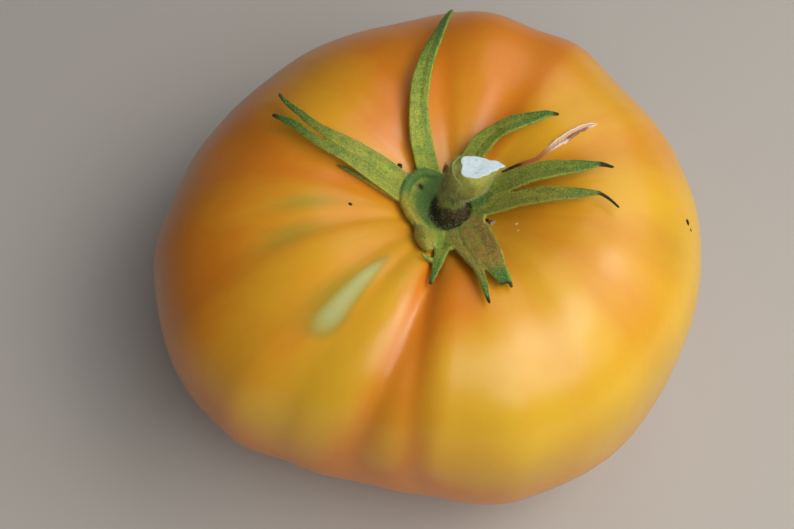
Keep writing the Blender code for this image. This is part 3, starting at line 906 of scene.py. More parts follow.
@dataclass(frozen=True)
class UnripePatch:
    """The pale wedge that runs down the skin from the basin and is wider further down, in degrees."""

    azimuth: float = 234.0
    slant: float = 0.06
    top: float = 60.0
    width: float = 3.7
    widening: float = 0.16
    widening_span: float = 12.0
    least_width: float = 1.5
    middle: float = 59.0
    half_length: float = 13.0

    def share(self, azimuth: np.ndarray, latitude: np.ndarray) -> np.ndarray:
        """How unripe the skin is at its points.

        Args:
            azimuth: The points' azimuths in degrees.
            latitude: The points' latitudes in degrees.

        Returns:
            A share from 0 to 1 for each point.
        """
        below = self.top - latitude
        bend = signed(azimuth - self.azimuth - self.slant * below)
        wide = self.width * (1 + self.widening * below / self.widening_span)
        ends = ((latitude - self.middle) / self.half_length) ** 4
        return np.exp(-((bend / np.maximum(wide, self.least_width)) ** 2) - ends)


def spotted(base: np.ndarray, azimuth: np.ndarray, latitude: np.ndarray, spots: tuple) -> np.ndarray:
    """Shares over the skin with soft oval spots added.

    Args:
        base: The shares without the spots.
        azimuth: The points' azimuths in degrees.
        latitude: The points' latitudes in degrees.
        spots: Rows of azimuth, latitude, half width, half height and strength.

    Returns:
        The shares, kept from 0 to 1.
    """
    total = base.copy()
    for az, lat, wide, tall, much in spots:
        total += much * np.exp(-((signed(azimuth - az) / wide) ** 2) - ((latitude - lat) / tall) ** 2)
    return np.clip(total, 0, 1)


@dataclass
class Fruit:
    """The ripe fruit, one solid, with its marks."""

    shape: FruitShape = field(default_factory=FruitShape)
    finish: WaxySkin = field(default_factory=WaxySkin)
    sides: int = 400
    rings: int = 216
    ring_crowding: float = 12.0
    lump_size: float = 13.0 * MM
    lump_height: float = 0.22 * MM
    fold_height: float = 0.07 * MM
    folds: tuple = ((13, 0.4), (19, 1.9), (29, 3.3))
    folds_out: Fade = Fade(42, 22, 1.0)
    folds_in: Fade = Fade(-86, 8, 1.0)
    olive_spots: tuple = (
        (203, 60, 4, 8, 1.0),
        (191, 65, 4, 7, 0.9),
        (229, 59, 4, 11, 0.8),
        (345, 38, 8, 12, 0.35),
        (316, 16, 12, 9, 0.30),
        (290, 5, 12, 10, 0.20),
    )
    # Orange flushes: the first is the skin's own, the second is painted shade on the bulge behind the left
    # sepals
    flushes_and_painted_shade: tuple = ((273, 67, 14, 12, 0.95), (133, 73, 20, 8, 0.60))
    stem_end_cork: tuple = (
        (4.1 * MM, 3.6 * MM, 0.75 * MM, 1.9 * MM),
        (11.6 * MM, -7.2 * MM, 0.9 * MM, 0.5 * MM),
    )
    patch: UnripePatch = field(default_factory=UnripePatch)
    full_groove: float = 1.5 * MM
    # Deeper orange in the grooves: partly pigment, partly painted shade of the creases
    groove_blush_and_painted_shade: float = 0.75
    blush_back: Fade = Fade(-8 * MM, 45 * MM, 0.42)
    blush_basin: Fade = Fade(70, 16, 0.30)
    # Painted shade: the left and the lower sides are laid deeper orange. Painted light: the right side is
    # laid more golden
    painted_shade_left: Fade = Fade(20 * MM, 32 * MM, 0.92)
    painted_shade_low: Fade = Fade(-45 * MM, 29 * MM, 0.9)
    painted_light_right: Fade = Fade(12 * MM, 28 * MM, -0.22)
    streaks_round: float = 4.5
    streak_length: float = 60.0

    def ball(self) -> bpy.types.Object:
        """The smooth skin as a ball of rings, with its azimuth, latitude and facing on each point."""
        work = bmesh.new()
        bmesh.ops.create_uvsphere(work, u_segments=self.sides, v_segments=self.rings, radius=1)
        mesh = made_mesh(work, "fruit")
        unit = read_points(mesh)
        azimuth = np.degrees(np.arctan2(unit[:, 1], unit[:, 0])) % 360
        latitude = np.degrees(np.arcsin(np.clip(unit[:, 2], -1, 1)))
        latitude += self.ring_crowding * np.sin(np.radians(2 * latitude))
        points, facing = self.shape.smooth_skin(azimuth, latitude)
        write_points(mesh, points)
        write_attribute(mesh, "azimuth", azimuth)
        write_attribute(mesh, "latitude", latitude)
        write_attribute(mesh, "facing", facing)
        return plain_object("tomato_fruit", mesh)

    def relief(self, mesh: bpy.types.Mesh) -> None:
        """Adds the soft lumps and the fine folds round the basin, and keeps the flat spot flat.

        Args:
            mesh: The fruit's mesh, with its grooves already cut.
        """
        points, normals = read_points(mesh), read_normals(mesh)
        azimuth, latitude = read_attribute(mesh, "azimuth"), read_attribute(mesh, "latitude")
        lumps = np.array([noise.noise(Vector(point) / self.lump_size) for point in points])
        move = lumps * self.lump_height
        near_basin = self.folds_out.share(latitude) * self.folds_in.share(-latitude)
        for count, phase in self.folds:
            ripple = np.sin(np.radians(azimuth * count) + phase + 0.05 * latitude * math.sin(phase))
            move += ripple * near_basin * self.fold_height / len(self.folds)
        points += normals * move[:, None]
        points[:, 2] = np.maximum(points[:, 2], 0.0)
        write_points(mesh, points)

    def marks(self, mesh: bpy.types.Mesh) -> None:
        """Stores where the skin is deep orange, unripe or olive, with painted shade and painted light
        worked into the orange, and the way from stem to blossom end.

        Args:
            mesh: The finished fruit's mesh.
        """
        points = read_points(mesh)
        azimuth, latitude = read_attribute(mesh, "azimuth"), read_attribute(mesh, "latitude")
        # Deeper orange down the grooves, partly pigment and partly painted shade of the creases
        blush = np.clip(read_attribute(mesh, "groove") / self.full_groove, 0, 1) * self.groove_blush_and_painted_shade
        blush += self.blush_back.share(points[:, 1])
        blush += self.blush_basin.share(latitude)
        # Painted shade on the left and lower sides, painted light on the right side
        blush += self.painted_shade_left.share(-points[:, 0])
        blush += self.painted_shade_low.share(-points[:, 2])
        blush += self.painted_light_right.share(points[:, 0])
        write_attribute(mesh, "blush", spotted(blush, azimuth, latitude, self.flushes_and_painted_shade))
        write_attribute(mesh, "unripe", self.patch.share(azimuth, latitude))
        clear = np.zeros(len(points))
        write_attribute(mesh, "olive", spotted(clear, azimuth, latitude, self.olive_spots))
        corky = np.zeros(len(points))
        for x, y, wide, tall in self.stem_end_cork:
            corky += np.exp(-(((points[:, 0] - x) / wide) ** 2) - ((points[:, 1] - y) / tall) ** 2)
        write_attribute(mesh, "corky", np.where(points[:, 2] > self.shape.equator_height, corky, 0.0))
        turn, wide = np.radians(azimuth), self.streaks_round
        flow = [np.cos(turn) * wide, np.sin(turn) * wide, latitude / self.streak_length]
        write_attribute(mesh, "flow", np.stack(flow, -1))

    def build(self) -> bpy.types.Object:
        """The dressed fruit, riding on the body and standing for its CAD node."""
        ball = self.ball()
        skin = self.finish.material()
        with_tree(ball, lobe_tree(self.shape), {"Groove depth": 1.0, "Swell height": 1.0, "Skin": skin})
        self.relief(ball.data)
        self.marks(ball.data)
        ball.data.shade_smooth()
        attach(ball, BODY)
        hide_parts("fruit")
        return ball


class Sepal(NamedTuple):
    """One blade, in degrees and millimetres, with its widths at even shares of the way.

    It runs from the root's azimuth to the tip's, bows to one side, sways to both, and hooks sideways
    past the share thread. It arches over the skin, lifts at the tip and rolls over. It is dry and brown
    past the share dry, and has turned tan by the share tan.
    """

    root: float
    tip: float
    bow: float
    sway: float
    length: float
    hook: float
    thread: float
    arch: float
    tip_lift: float
    roll: float
    wave: float
    dry: float
    tan: float
    widths: tuple[float, ...]


class Lobe(NamedTuple):
    """A place on a fleshy fold or a small tooth: ground plan, height over the skin, and radius."""

    x: float
    y: float
    height: float
    radius: float


@dataclass
class Calyx:
    """The cup round the stem with its rolled rim, its folded lobe and all its sepals, grown together."""

    skin: Skin
    finish: GreenLeaf = field(default_factory=GreenLeaf)
    gap: float = 0.35 * MM
    centre: tuple[float, float] = (4.9 * MM, -3.7 * MM)
    cup_thickness: float = 1.2 * MM
    hollow: tuple = round_table(
        (0, 3.8),
        (90, 3.6),
        (172, 3.9),
        (220, 5.1),
        (250, 6.1),
        (279, 5.2),
        (307, 4.1),
    )
    hollow_floor: float = 0.7 * MM
    cup_sides: int = 96
    edge: tuple = round_table(
        (0, 6.2, 1.5),
        (70, 6.0, 1.5),
        (112, 7.0, 1.7),
        (138, 8.2, 2.1),
        (178, 8.9, 2.2),
        (212, 8.5, 2.1),
        (238, 10.4, 1.8),
        (262, 12.2, 1.5),
        (285, 11.8, 1.4),
        (308, 8.4, 1.4),
        (335, 6.8, 1.4),
    )
    rim: tuple = round_table(
        (0, 6.9, 0.5),
        (108, 6.9, 0.5),
        (119, 7.7, 0.70),
        (131, 8.7, 0.80),
        (142, 9.2, 0.85),
        (164, 9.35, 0.85),
        (180, 9.5, 0.88),
        (197, 9.1, 0.80),
        (220, 8.8, 0.75),
        (232, 8.6, 0.5),
    )
    rim_from: float = 230.0
    rim_to: float = 108.0
    rim_rise: float = 3.0 * MM
    golden_from: float = 158.0
    golden_to: float = 196.0
    fold: tuple[Lobe, ...] = places(
        Lobe,
        (-0.8, -9.9, 1.3, 0.75),
        (-0.6, -11.4, 1.7, 1.30),
        (-0.25, -12.9, 1.8, 1.50),
        (0.2, -14.5, 1.6, 1.25),
        (0.9, -15.9, 1.2, 0.75),
    )
    curl: tuple[Lobe, ...] = places(
        Lobe,
        (3.0, -15.9, 1.1, 0.60),
        (2.2, -17.2, 0.9, 0.58),
        (1.0, -18.0, 0.9, 0.50),
        (-0.2, -17.8, 1.1, 0.35),
        (-0.8, -17.2, 1.2, 0.22),
    )
    teeth: tuple[tuple[Lobe, ...], ...] = (
        places(Lobe, (11.9, -22.6, 1.2, 0.75), (12.2, -24.0, 1.2, 0.45), (12.6, -25.2, 1.1, 0.24)),
        places(Lobe, (13.2, -22.6, 1.2, 0.75), (13.7, -24.3, 1.2, 0.50), (14.2, -25.9, 0.9, 0.24)),
    )
    dark_spot: tuple[float, float, float] = (-0.6 * MM, -0.4 * MM, 0.45 * MM)
    # Dark ring in the hollow round the stem foot: partly dried tissue, partly painted shade of the gap
    # round the foot
    stain_and_painted_shade: Fade = Fade(-0.15 * MM, 0.6 * MM, 1.0)
    # Painted shade in the cup round the stem, weaker in front, and on the upper side of the rolled rim
    shade: Fade = Fade(-8.2 * MM, 3.0 * MM, 1.0)
    shade_lost_in_front: Fade = Fade(230, 30, 0.55)
    fold_shade: float = 0.9
    dry_edge: float = 0.03
    dry_soft: float = 0.05
    tone_step: float = 0.37
    hairs_left_at_tip: float = 0.25
    sepals: tuple[Sepal, ...] = (
        Sepal(125.9, 89.7, -4.5, 1.1, 41.1, -0.5, 0.90, 1.8, 2.2, -8, 0.8, 1.05, 0.15,
              (4.4, 4.4, 4.2, 3.8, 3.5, 3.1, 2.6, 2.1, 1.1)),
        Sepal(69.5, 37.0, 0.6, 3.6, 23.4, -1.0, 0.90, 2.7, 1.8, -12, 2.0, 0.97, 0.20,
              (3.8, 4.2, 4.3, 4.1, 3.7, 3.4, 2.9, 2.1, 0.5)),
        Sepal(26.9, 6.6, -9.2, 0.1, 28.2, -1.5, 0.88, 1.5, 1.6, 4, 3.1, 0.90, 0.20,
              (4.8, 4.4, 4.6, 4.5, 4.0, 3.4, 2.7, 1.3, 0.4)),
        Sepal(352.1, 354.0, -2.8, 0.6, 29.0, -3.2, 0.84, 1.3, 1.1, 8, 4.4, 0.86, 0.40,
              (4.4, 3.8, 3.5, 3.2, 3.0, 2.6, 1.8, 0.6, 0.4)),
        Sepal(310.2, 291.2, -8.7, -1.1, 23.3, -0.3, 0.90, 0.7, 0.9, 0, 5.0, 0.99, 1.00,
              (6.0, 5.5, 5.3, 5.3, 5.3, 5.1, 4.3, 2.9, 1.9)),
        Sepal(277.9, 281.3, 0.6, -1.0, 26.2, 0.3, 0.90, 0.4, 0.7, 0, 0.3, 0.96, 0.70,
              (4.0, 3.8, 3.8, 3.6, 2.9, 2.0, 1.5, 1.1, 0.4)),
        Sepal(254.5, 258.4, 3.4, 0.9, 20.7, -0.1, 0.90, 0.3, 0.6, 0, 1.4, 0.97, 0.10,
              (4.0, 3.4, 3.0, 2.8, 2.5, 2.0, 1.6, 1.1, 0.5)),
        Sepal(155.8, 140.3, 10.1, -1.7, 38.0, 3.7, 0.76, 1.3, 1.4, 0, 3.7, 0.96, 0.30,
              (3.8, 3.7, 3.4, 2.9, 2.3, 1.9, 1.6, 1.3, 0.5)),
        Sepal(183.1, 149.7, -1.5, -2.6, 36.0, 2.7, 0.80, 1.1, 1.2, 0, 5.6, 0.96, 0.25,
              (3.2, 3.0, 2.9, 2.7, 2.2, 1.9, 1.8, 1.5, 0.7)),
        Sepal(187.0, 168.0, -3.0, 0.0, 20.8, 0.0, 0.90, 0.0, 0.0, 0, 2.2, 1.05, 0.60,
              (2.0, 1.7, 1.5, 1.2, 1.0, 0.9, 0.8, 0.7, 0.4)),
    )
    root_reach: float = 4.2 * MM
    thickness: float = 0.95 * MM
    spine_rise: float = 0.7 * MM
    thinning: float = 0.35
    arch_power: float = 1.2
    hook_power: float = 1.5
    stations: int = 72
    section_points: int = 24
    voxel: float = 0.18 * MM
    smoothing: int = 4

    def middle(self) -> Vector:
        """The cup's middle on the ground plan."""
        return Vector(self.centre)

    def place(self, sepal: Sepal, share: float) -> Vector:
        """Where a sepal's midline is over the ground plan, from 0 at the root to 1 at the tip."""
        azimuth = sepal.root + float(signed(sepal.tip - sepal.root)) * share
        azimuth += sepal.bow * 4 * share * (1 - share) + sepal.sway * math.sin(2 * math.pi * share)
        distance = self.root_reach + (sepal.length * MM - self.root_reach) * share
        way = outward(azimuth)
        past = max(0.0, (share - sepal.thread) / (1 - sepal.thread))
        hook = sepal.hook * MM * past**self.hook_power
        return self.middle() + way * distance + Vector((-way.y, way.x)) * hook

    def lift(self, sepal: Sepal, share: float) -> float:
        """Height of a sepal's midline over the skin."""
        arch = sepal.arch * MM * math.sin(math.pi * share) ** self.arch_power
        return self.gap + self.spine_rise + arch + (sepal.tip_lift * MM - self.gap) * share**2

    def half_width(self, sepal: Sepal, share: float) -> float:
        """Half the width there, with a slightly ragged edge."""
        even = share * (len(sepal.widths) - 1)
        width = float(np.interp(even, range(len(sepal.widths)), sepal.widths)) * MM
        ragged = 1 + 0.04 * math.sin(9 * share + sepal.wave) + 0.03 * math.sin(26 * share + 2 * sepal.wave)
        return width / 2 * ragged

    def blade(self, sepal: Sepal) -> tuple[list[list[Vector]], np.ndarray]:
        """One sepal's rings of points, and its midline for the finish.

        Args:
            sepal: The blade's sizes.

        Returns:
            The rings from root to tip, and rows of midline point, direction across, half width and share.
        """
        shares = [k / (self.stations - 1) for k in range(self.stations)]
        spine = [self.skin.above(self.place(sepal, s), self.lift(sepal, s)) for s in shares]
        rings, rows = [], []
        for k, (share, middle) in enumerate(zip(shares, spine)):
            forward = (spine[min(k + 1, len(spine) - 1)] - spine[max(k - 1, 0)]).normalized()
            across = forward.cross(self.skin.slope(middle.xy)).normalized()
            roll = sepal.roll * share + 6 * math.sin(5 * share + sepal.wave)
            across.rotate(Matrix.Rotation(math.radians(roll), 3, forward))
            up = across.cross(forward).normalized()
            half = self.half_width(sepal, share)
            thick = min(self.thickness * (1 - self.thinning * share) / 2, half * 1.1)
            cupping = 0.15 * half * math.sin(math.pi * min(share * 1.3, 1.0))
            ring = []
            for j in range(self.section_points):
                turn = 2 * math.pi * j / self.section_points
                u, v = math.cos(turn), math.sin(turn)
                flat = math.copysign(abs(v) ** 0.6, v)
                channel = 0.3 * math.exp(-((u / 0.22) ** 2)) if v > 0 else 0.0
                ring.append(middle + across * half * u + up * (thick * (flat - channel) + cupping * u * u))
            rings.append(ring)
            rows.append((*middle, *across, half, share))
        return rings, np.array(rows)

    def cup_section(self, azimuth: float) -> list[Vector]:
        """The points of the cup's section at an azimuth, from its edge in to the hollow and back under."""
        radius, rise = (float(v) for v in around(self.edge, azimuth))
        way, middle = outward(azimuth), self.middle()
        hollow = float(around(self.hollow, azimuth)[0])
        section = []
        for out, up in ((1.0, 0.55), (0.95, 1.0), (0.84, 0.9)):
            section.append(self.skin.above(middle + way * radius * out, self.gap + rise * up))
        slope_end = hollow + 0.25 * (radius - hollow)
        for reach in (slope_end, hollow):
            section.append(self.skin.above(middle + way * reach, self.gap + self.cup_thickness))
        section.append(self.skin.above(middle + way * hollow * 0.85, self.gap + self.hollow_floor))
        section.append(self.skin.above(middle + way * hollow * 0.5, self.gap))
        for share in (0.6, 0.85):
            section.append(self.skin.above(middle + way * radius * share, self.gap))
        return section

    def add_cup(self, work: bmesh.types.BMesh) -> None:
        """Puts the cup in the work mesh: its section taken once round the stem."""
        loops = []
        for k in range(self.cup_sides):
            section = self.cup_section(360 * k / self.cup_sides)
            loops.append([work.verts.new(point) for point in section])
        floor, count = 5, len(loops[0])
        for k, loop in enumerate(loops):
            after = loops[(k + 1) % self.cup_sides]
            for j in range(count):
                if j != floor:
                    work.faces.new((loop[j], after[j], after[(j + 1) % count], loop[(j + 1) % count]))
        work.faces.new([loop[floor] for loop in loops])
        work.faces.new([loop[floor + 1] for loop in reversed(loops)])

    def rim_line(self) -> list[tuple[Vector, float]]:
        """The middles and radii of the cup's edge on its left, rolled inwards into a smooth lip."""
        line, stations = [], 48
        for k in range(stations):
            share = k / (stations - 1)
            azimuth = (self.rim_from + (self.rim_to - self.rim_from) * share) % 360
            outer, thick = (float(v) for v in around(self.rim, azimuth))
            swell = math.sin(math.pi * share) ** 0.4
            soft = 1 + 0.05 * math.sin(7 * share + 1.0)
            middle = self.middle() + outward(azimuth) * (outer - thick)
            rise = self.rim_rise * (0.45 + 0.55 * swell) - thick
            line.append((self.skin.above(middle, rise), thick * soft))
        return line

    def lobe_line(self, lobes: tuple[Lobe, ...], steps: int = 6) -> list[tuple[Vector, float]]:
        """The middles and radii along a fold or a tooth, eased between its places."""
        rows = smooth_rows(np.array(lobes), steps)
        return [(self.skin.above(Vector((x, y)), height), radius) for x, y, height, radius in rows]

    def grown(self) -> tuple[bpy.types.Object, list[np.ndarray]]:
        """The cup, its rolled rim, folds, teeth and sepals, made one skin.

        Returns:
            The object and the midlines of its sepals.
        """
        work = bmesh.new()
        self.add_cup(work)
        add_tube(work, round_rings(self.rim_line(), 16))
        for lobes in (self.fold, self.curl, *self.teeth):
            add_tube(work, round_rings(self.lobe_line(lobes), 14))
        midlines = []
        for sepal in self.sepals:
            rings, rows = self.blade(sepal)
            add_tube(work, rings)
            midlines.append(rows)
        bmesh.ops.recalc_face_normals(work, faces=work.faces)
        mesh = made_mesh(work, "calyx")
        whole = plain_object("tomato_calyx", mesh)
        remesh = whole.modifiers.new("one_skin", "REMESH")
        remesh.mode = "VOXEL"
        remesh.voxel_size = self.voxel
        smooth = whole.modifiers.new("soften", "SMOOTH")
        smooth.factor = 0.5
        smooth.iterations = self.smoothing
        return applied(whole), midlines

    def marks(self, mesh: bpy.types.Mesh, midlines: list[np.ndarray]) -> None:
        """Stores where each point is along and across its blade, its blade's tone, the cup's parts, and the
        painted shade in the cup and on its rim.

        Args:
            mesh: The calyx's mesh.
            midlines: Rows of midline point, direction across, half width and share, for each sepal.
        """
        points = read_points(mesh)
        best = np.full(len(points), np.inf)
        along, across, tone, dried, tanned = (np.zeros(len(points)) for _ in range(5))
        for k, rows in enumerate(midlines):
            away = np.linalg.norm(points[:, None, :] - rows[None, :, :3], axis=-1)
            near = away.argmin(1)
            close = away[np.arange(len(points)), near] / np.maximum(rows[near, 6], 0.8 * MM)
            better = close < best
            side = ((points - rows[near, :3]) * rows[near, 3:6]).sum(1) / rows[near, 6]
            best[better] = close[better]
            along[better] = rows[near, 7][better]
            across[better] = side[better]
            tone[better] = (k * self.tone_step) % 1.0
            past = rows[near, 7] - self.sepals[k].dry + self.dry_edge
            dried[better] = eased(past / self.dry_soft)[better]
            tanned[better] = self.sepals[k].tan
        flat = points[:, :2] - np.array(self.centre)
        reach = np.linalg.norm(flat, axis=1)
        azimuth = np.degrees(np.arctan2(flat[:, 1], flat[:, 0])) % 360
        hollow = around(self.hollow, azimuth)[0]
        # Dark ring inside the hollow: partly dried tissue, partly painted shade
        stain_and_painted_shade = self.stain_and_painted_shade.share(hollow - reach)
        spot_x, spot_y, spot_size = self.dark_spot
        spot = np.hypot(points[:, 0] - spot_x, points[:, 1] - spot_y) / spot_size
        fleshy = np.zeros(len(points))
        for line in (self.rim_line(), self.lobe_line(self.fold)):
            rows = np.array([(*place, radius) for place, radius in line])
            away = np.linalg.norm(points[:, None, :] - rows[None, :, :3], axis=-1) / rows[None, :, 3]
            fleshy = np.maximum(fleshy, eased((1.5 - away.min(1)) / 0.4))
        golden = eased((azimuth - self.golden_from) / (self.golden_to - self.golden_from))
        shaded = self.shade.share(-reach) * (1 - self.shade_lost_in_front.share(azimuth))
        shaded = shaded * (1 - fleshy) + fleshy * (1 - golden) * self.fold_shade
        write_attribute(mesh, "along", along * (1 - fleshy))
        write_attribute(mesh, "across", across)
        write_attribute(mesh, "tone", tone)
        write_attribute(mesh, "dried", np.clip(dried * (1 - fleshy) + stain_and_painted_shade + eased(1.6 - spot), 0, 1))
        write_attribute(mesh, "tanned", tanned)
        write_attribute(mesh, "fleshy", fleshy * golden)
        write_attribute(mesh, "pit", np.clip(shaded, 0, 1))
        write_attribute(mesh, "hairy", np.clip(1.2 - along, self.hairs_left_at_tip, 1.0))

    def build(self) -> bpy.types.Object:
        """The dressed calyx, riding on the body and standing for its CAD node."""
        whole, midlines = self.grown()
        self.marks(whole.data, midlines)
        whole.data.materials.clear()
        whole.data.materials.append(self.finish.material())
        whole.data.shade_smooth()
        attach(whole, BODY)
        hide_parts("calyx")
        return whole


def smooth_rows(rows: np.ndarray, steps: int) -> np.ndarray:
    """Rows of numbers on a smooth curve through the given ones.

    Args:
        rows: The rows that it passes through.
        steps: How many rows come out for each one that goes in.

    Returns:
        The new rows, from the first given one to the last.
    """
    padded = np.vstack([2 * rows[0] - rows[1], rows, 2 * rows[-1] - rows[-2]])
    count = (len(rows) - 1) * steps
    out = []
    for step in range(count + 1):
        place = step / steps
        k = min(int(place), len(rows) - 2)
        t = place - k
        a, b, c, d = padded[k : k + 4]
        slope, bend, twist = c - a, 2 * a - 5 * b + 4 * c - d, 3 * b - a - 3 * c + d
        out.append(0.5 * (2 * b + slope * t + bend * t**2 + twist * t**3))
    return np.array(out)


def round_rings(line: list[tuple[Vector, float]], sides: int) -> list[list[Vector]]:
    """Round rings of points along a line.

    Args:
        line: Middles and radii from end to end.
        sides: How many points a ring has.

    Returns:
        The rings, all turned the same way.
    """
    rings = []
    for k, (middle, radius) in enumerate(line):
        forward = (line[min(k + 1, len(line) - 1)][0] - line[max(k - 1, 0)][0]).normalized()
        side = forward.cross(Vector((0, 0, 1))).normalized()
        up = side.cross(forward)
        turns = [2 * math.pi * j / sides for j in range(sides)]
        rings.append([middle + (side * math.cos(t) + up * math.sin(t)) * radius for t in turns])
    return rings


def add_tube(work: bmesh.types.BMesh, rings: list[list[Vector]]) -> None:
    """Puts a closed tube through rings of points into a work mesh.

    Args:
        work: The mesh that it goes into.
        rings: The rings from end to end, all with the same count.
    """
    loops = [[work.verts.new(point) for point in ring] for ring in rings]
    count = len(rings[0])
    for lower, upper in zip(loops, loops[1:]):
        for k in range(count):
            work.faces.new((lower[k], lower[(k + 1) % count], upper[(k + 1) % count], upper[k]))
    work.faces.new(reversed(loops[0]))
    work.faces.new(loops[-1])


@dataclass
class Stem:
    """The stub of the stalk: a corky foot, a waist, a knuckle, and the slanting cut with its sliver."""

    skin: Skin
    finish: GreenStalk = field(default_factory=GreenStalk)
    cup_middle: tuple[float, float] = (4.9 * MM, -3.7 * MM)
    line: tuple[Lobe, ...] = places(
        Lobe,
        (4.8, -5.2, 1.3, 2.45),
        (4.8, -5.0, 2.2, 2.60),
        (4.8, -4.6, 3.3, 2.45),
        (4.9, -3.9, 4.7, 2.30),
        (5.1, -3.7, 6.6, 2.40),
        (5.7, -3.7, 8.6, 2.70),
        (6.8, -3.9, 10.4, 3.40),
        (7.8, -3.8, 11.9, 3.75),
    )
    cut_centre: tuple[float, float, float] = (8.9 * MM, -3.4 * MM, 13.9 * MM)
    cut_normal: tuple[float, float, float] = (0.10, 0.22, 0.97)
    cut_outline: tuple = round_table(
        (0, 3.7),
        (9, 5.0),
        (20, 4.4),
        (45, 3.0),
        (78, 2.75),
        (101, 2.85),
        (135, 3.25),
        (180, 2.45),
        (229, 3.45),
        (250, 3.0),
        (274, 2.75),
        (295, 2.4),
        (335, 2.6),
    )
    cut_round: float = 0.35 * MM
    brow: float = 0.30 * MM
    brow_shift: tuple[float, float] = (-0.55 * MM, -0.10 * MM)
    brow_drop: float = 1.1 * MM
    brow_radius: float = 3.55 * MM
    sides: int = 120
    steps: int = 9
    cut_rings: int = 12
    ridges: int = 9
    ridge_height: float = 0.10 * MM
    foot_share: float = 0.30
    bristles_from: float = 0.06
    bristles_past_foot: float = 0.05
    hairs_to: float = 0.975
    lump_size: float = 0.8 * MM
    broad_lump_size: float = 2.2 * MM

    def frame_of(self, normal: Vector) -> tuple[Vector, Vector]:
        """The two directions across a normal, the first as near +X as it can be."""
        across = (Vector((1, 0, 0)) - normal * normal.x).normalized()
        return across, normal.cross(across)

    def ring(self, middle: Vector, normal: Vector, reach: np.ndarray) -> list[Vector]:
        """A ring of points across a direction.

        Args:
            middle: Its middle.
            normal: The direction.
            reach: How far out each point is, from +X round.

        Returns:
            The points.
        """
        across, side = self.frame_of(normal)
        turns = 2 * np.pi * np.arange(self.sides) / self.sides
        return [middle + (across * math.cos(t) + side * math.sin(t)) * r for t, r in zip(turns, reach)]

    def body_rings(self, floor: float) -> list[tuple[list[Vector], float]]:
        """The rings from the foot to the knuckle, each with its share of the way up."""
        line = smooth_rows(np.array(self.line), self.steps)
        middles = [Vector((x, y, floor + height)) for x, y, height, _ in line]
        turns = 2 * np.pi * np.arange(self.sides) / self.sides
        ridge = self.ridge_height * np.cos(self.ridges * turns + 1.5 * np.sin(2 * turns))
        rings = []
        for k, middle in enumerate(middles):
            forward = (middles[min(k + 1, len(middles) - 1)] - middles[max(k - 1, 0)]).normalized()
            share = k / (len(middles) - 1)
            level = Vector((0, 0, 1)).lerp(forward, min(share * 3, 1.0)).normalized()
            rings.append((self.ring(middle, level, line[k, 3] + ridge), share * 0.9))
        return rings

    def cut_rings_of(self, floor: float, last: list[Vector]) -> list[tuple[list[Vector], float]]:
        """The rings over the knuckle, round the brow and in over the cut, each with its share."""
        cut = Vector(self.cut_centre) + Vector((0, 0, floor))
        normal = Vector(self.cut_normal).normalized()
        turns = 360 * np.arange(self.sides) / self.sides
        outline = around(self.cut_outline, turns)[0]
        shifted = cut - normal * self.brow_drop + Vector((*self.brow_shift, 0))
        reach = np.maximum(self.brow_radius, outline * 0.72 + 0.9 * MM)
        shoulder = self.ring(shifted, normal, reach)
        brow = self.ring(cut - normal * self.cut_round, normal, outline + self.brow)
        edge = self.ring(cut, normal, outline)
        rings = [([a.lerp(b, 0.5) for a, b in zip(last, shoulder)], 0.92), (shoulder, 0.94)]
        rings.append(([a.lerp(b, 0.55) for a, b in zip(shoulder, brow)], 0.955))
        rings.append((brow, 0.97))
        rings.append(([a.lerp(b, 0.6) + normal * self.cut_round * 0.2 for a, b in zip(brow, edge)], 0.98))
        for k in range(self.cut_rings):
            share = k / self.cut_rings
            sunk = cut - normal * 0.2 * MM * math.sin(share * math.pi / 2)
            rings.append(([point.lerp(sunk, share) for point in edge], 1.0))
        return rings

    def marks(self, mesh: bpy.types.Mesh, along: np.ndarray) -> None:
        """Stores the finish's shares and roughens the foot, the side and the cut.

        Args:
            mesh: The stem's mesh, ring after ring.
            along: Each point's share of the way up, 1 on the cut.
        """
        write_attribute(mesh, "along", along)
        write_attribute(mesh, "cut", np.where(along > 0.99, 1.0, 0.0))
        side = (along > self.foot_share) & (along < self.hairs_to)
        foot = (along > self.bristles_from) & (along < self.foot_share + self.bristles_past_foot)
        write_attribute(mesh, "hairy", np.where(side, 1.0, 0.0))
        write_attribute(mesh, "bristly", np.where(foot, 1.0, 0.0))
        points, normals = read_points(mesh), read_normals(mesh)
        lumps = np.array([noise.noise(Vector(p) / self.lump_size) for p in points])
        moved = Vector((7, 3, 1))
        broad = np.array([noise.noise(Vector(p) / self.broad_lump_size + moved) for p in points])
        rough = np.where(along < self.foot_share, 0.30 * MM, 0.10 * MM) * np.where(along > 0.96, 0.4, 1.0)
        knuckle = np.exp(-(((along - 0.86) / 0.10) ** 2)) * 0.45 * MM
        soft = np.where(along > 0.96, 0.05 * MM, 0.15 * MM) + knuckle
        write_points(mesh, points + normals * (lumps * rough + broad * soft)[:, None])

    def build(self) -> bpy.types.Object:
        """The dressed stem, riding on the body and standing for its CAD node."""
        floor = self.skin.height(Vector(self.cup_middle))
        rings = self.body_rings(floor)
        rings += self.cut_rings_of(floor, rings[-1][0])
        work = bmesh.new()
        add_tube(work, [ring for ring, _ in rings])
        bmesh.ops.recalc_face_normals(work, faces=work.faces)
        mesh = made_mesh(work, "stem")
        self.marks(mesh, np.repeat([share for _, share in rings], self.sides))
        stem = plain_object("tomato_stem", mesh)
        mesh.materials.append(self.finish.material())
        mesh.shade_smooth()
        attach(stem, BODY)
        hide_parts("stem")
        return stem


class CrackStation(NamedTuple):
    """A place on the healed crack: ground plan, and how far it reaches to each side."""

    x: float
    y: float
    near: float
    far: float


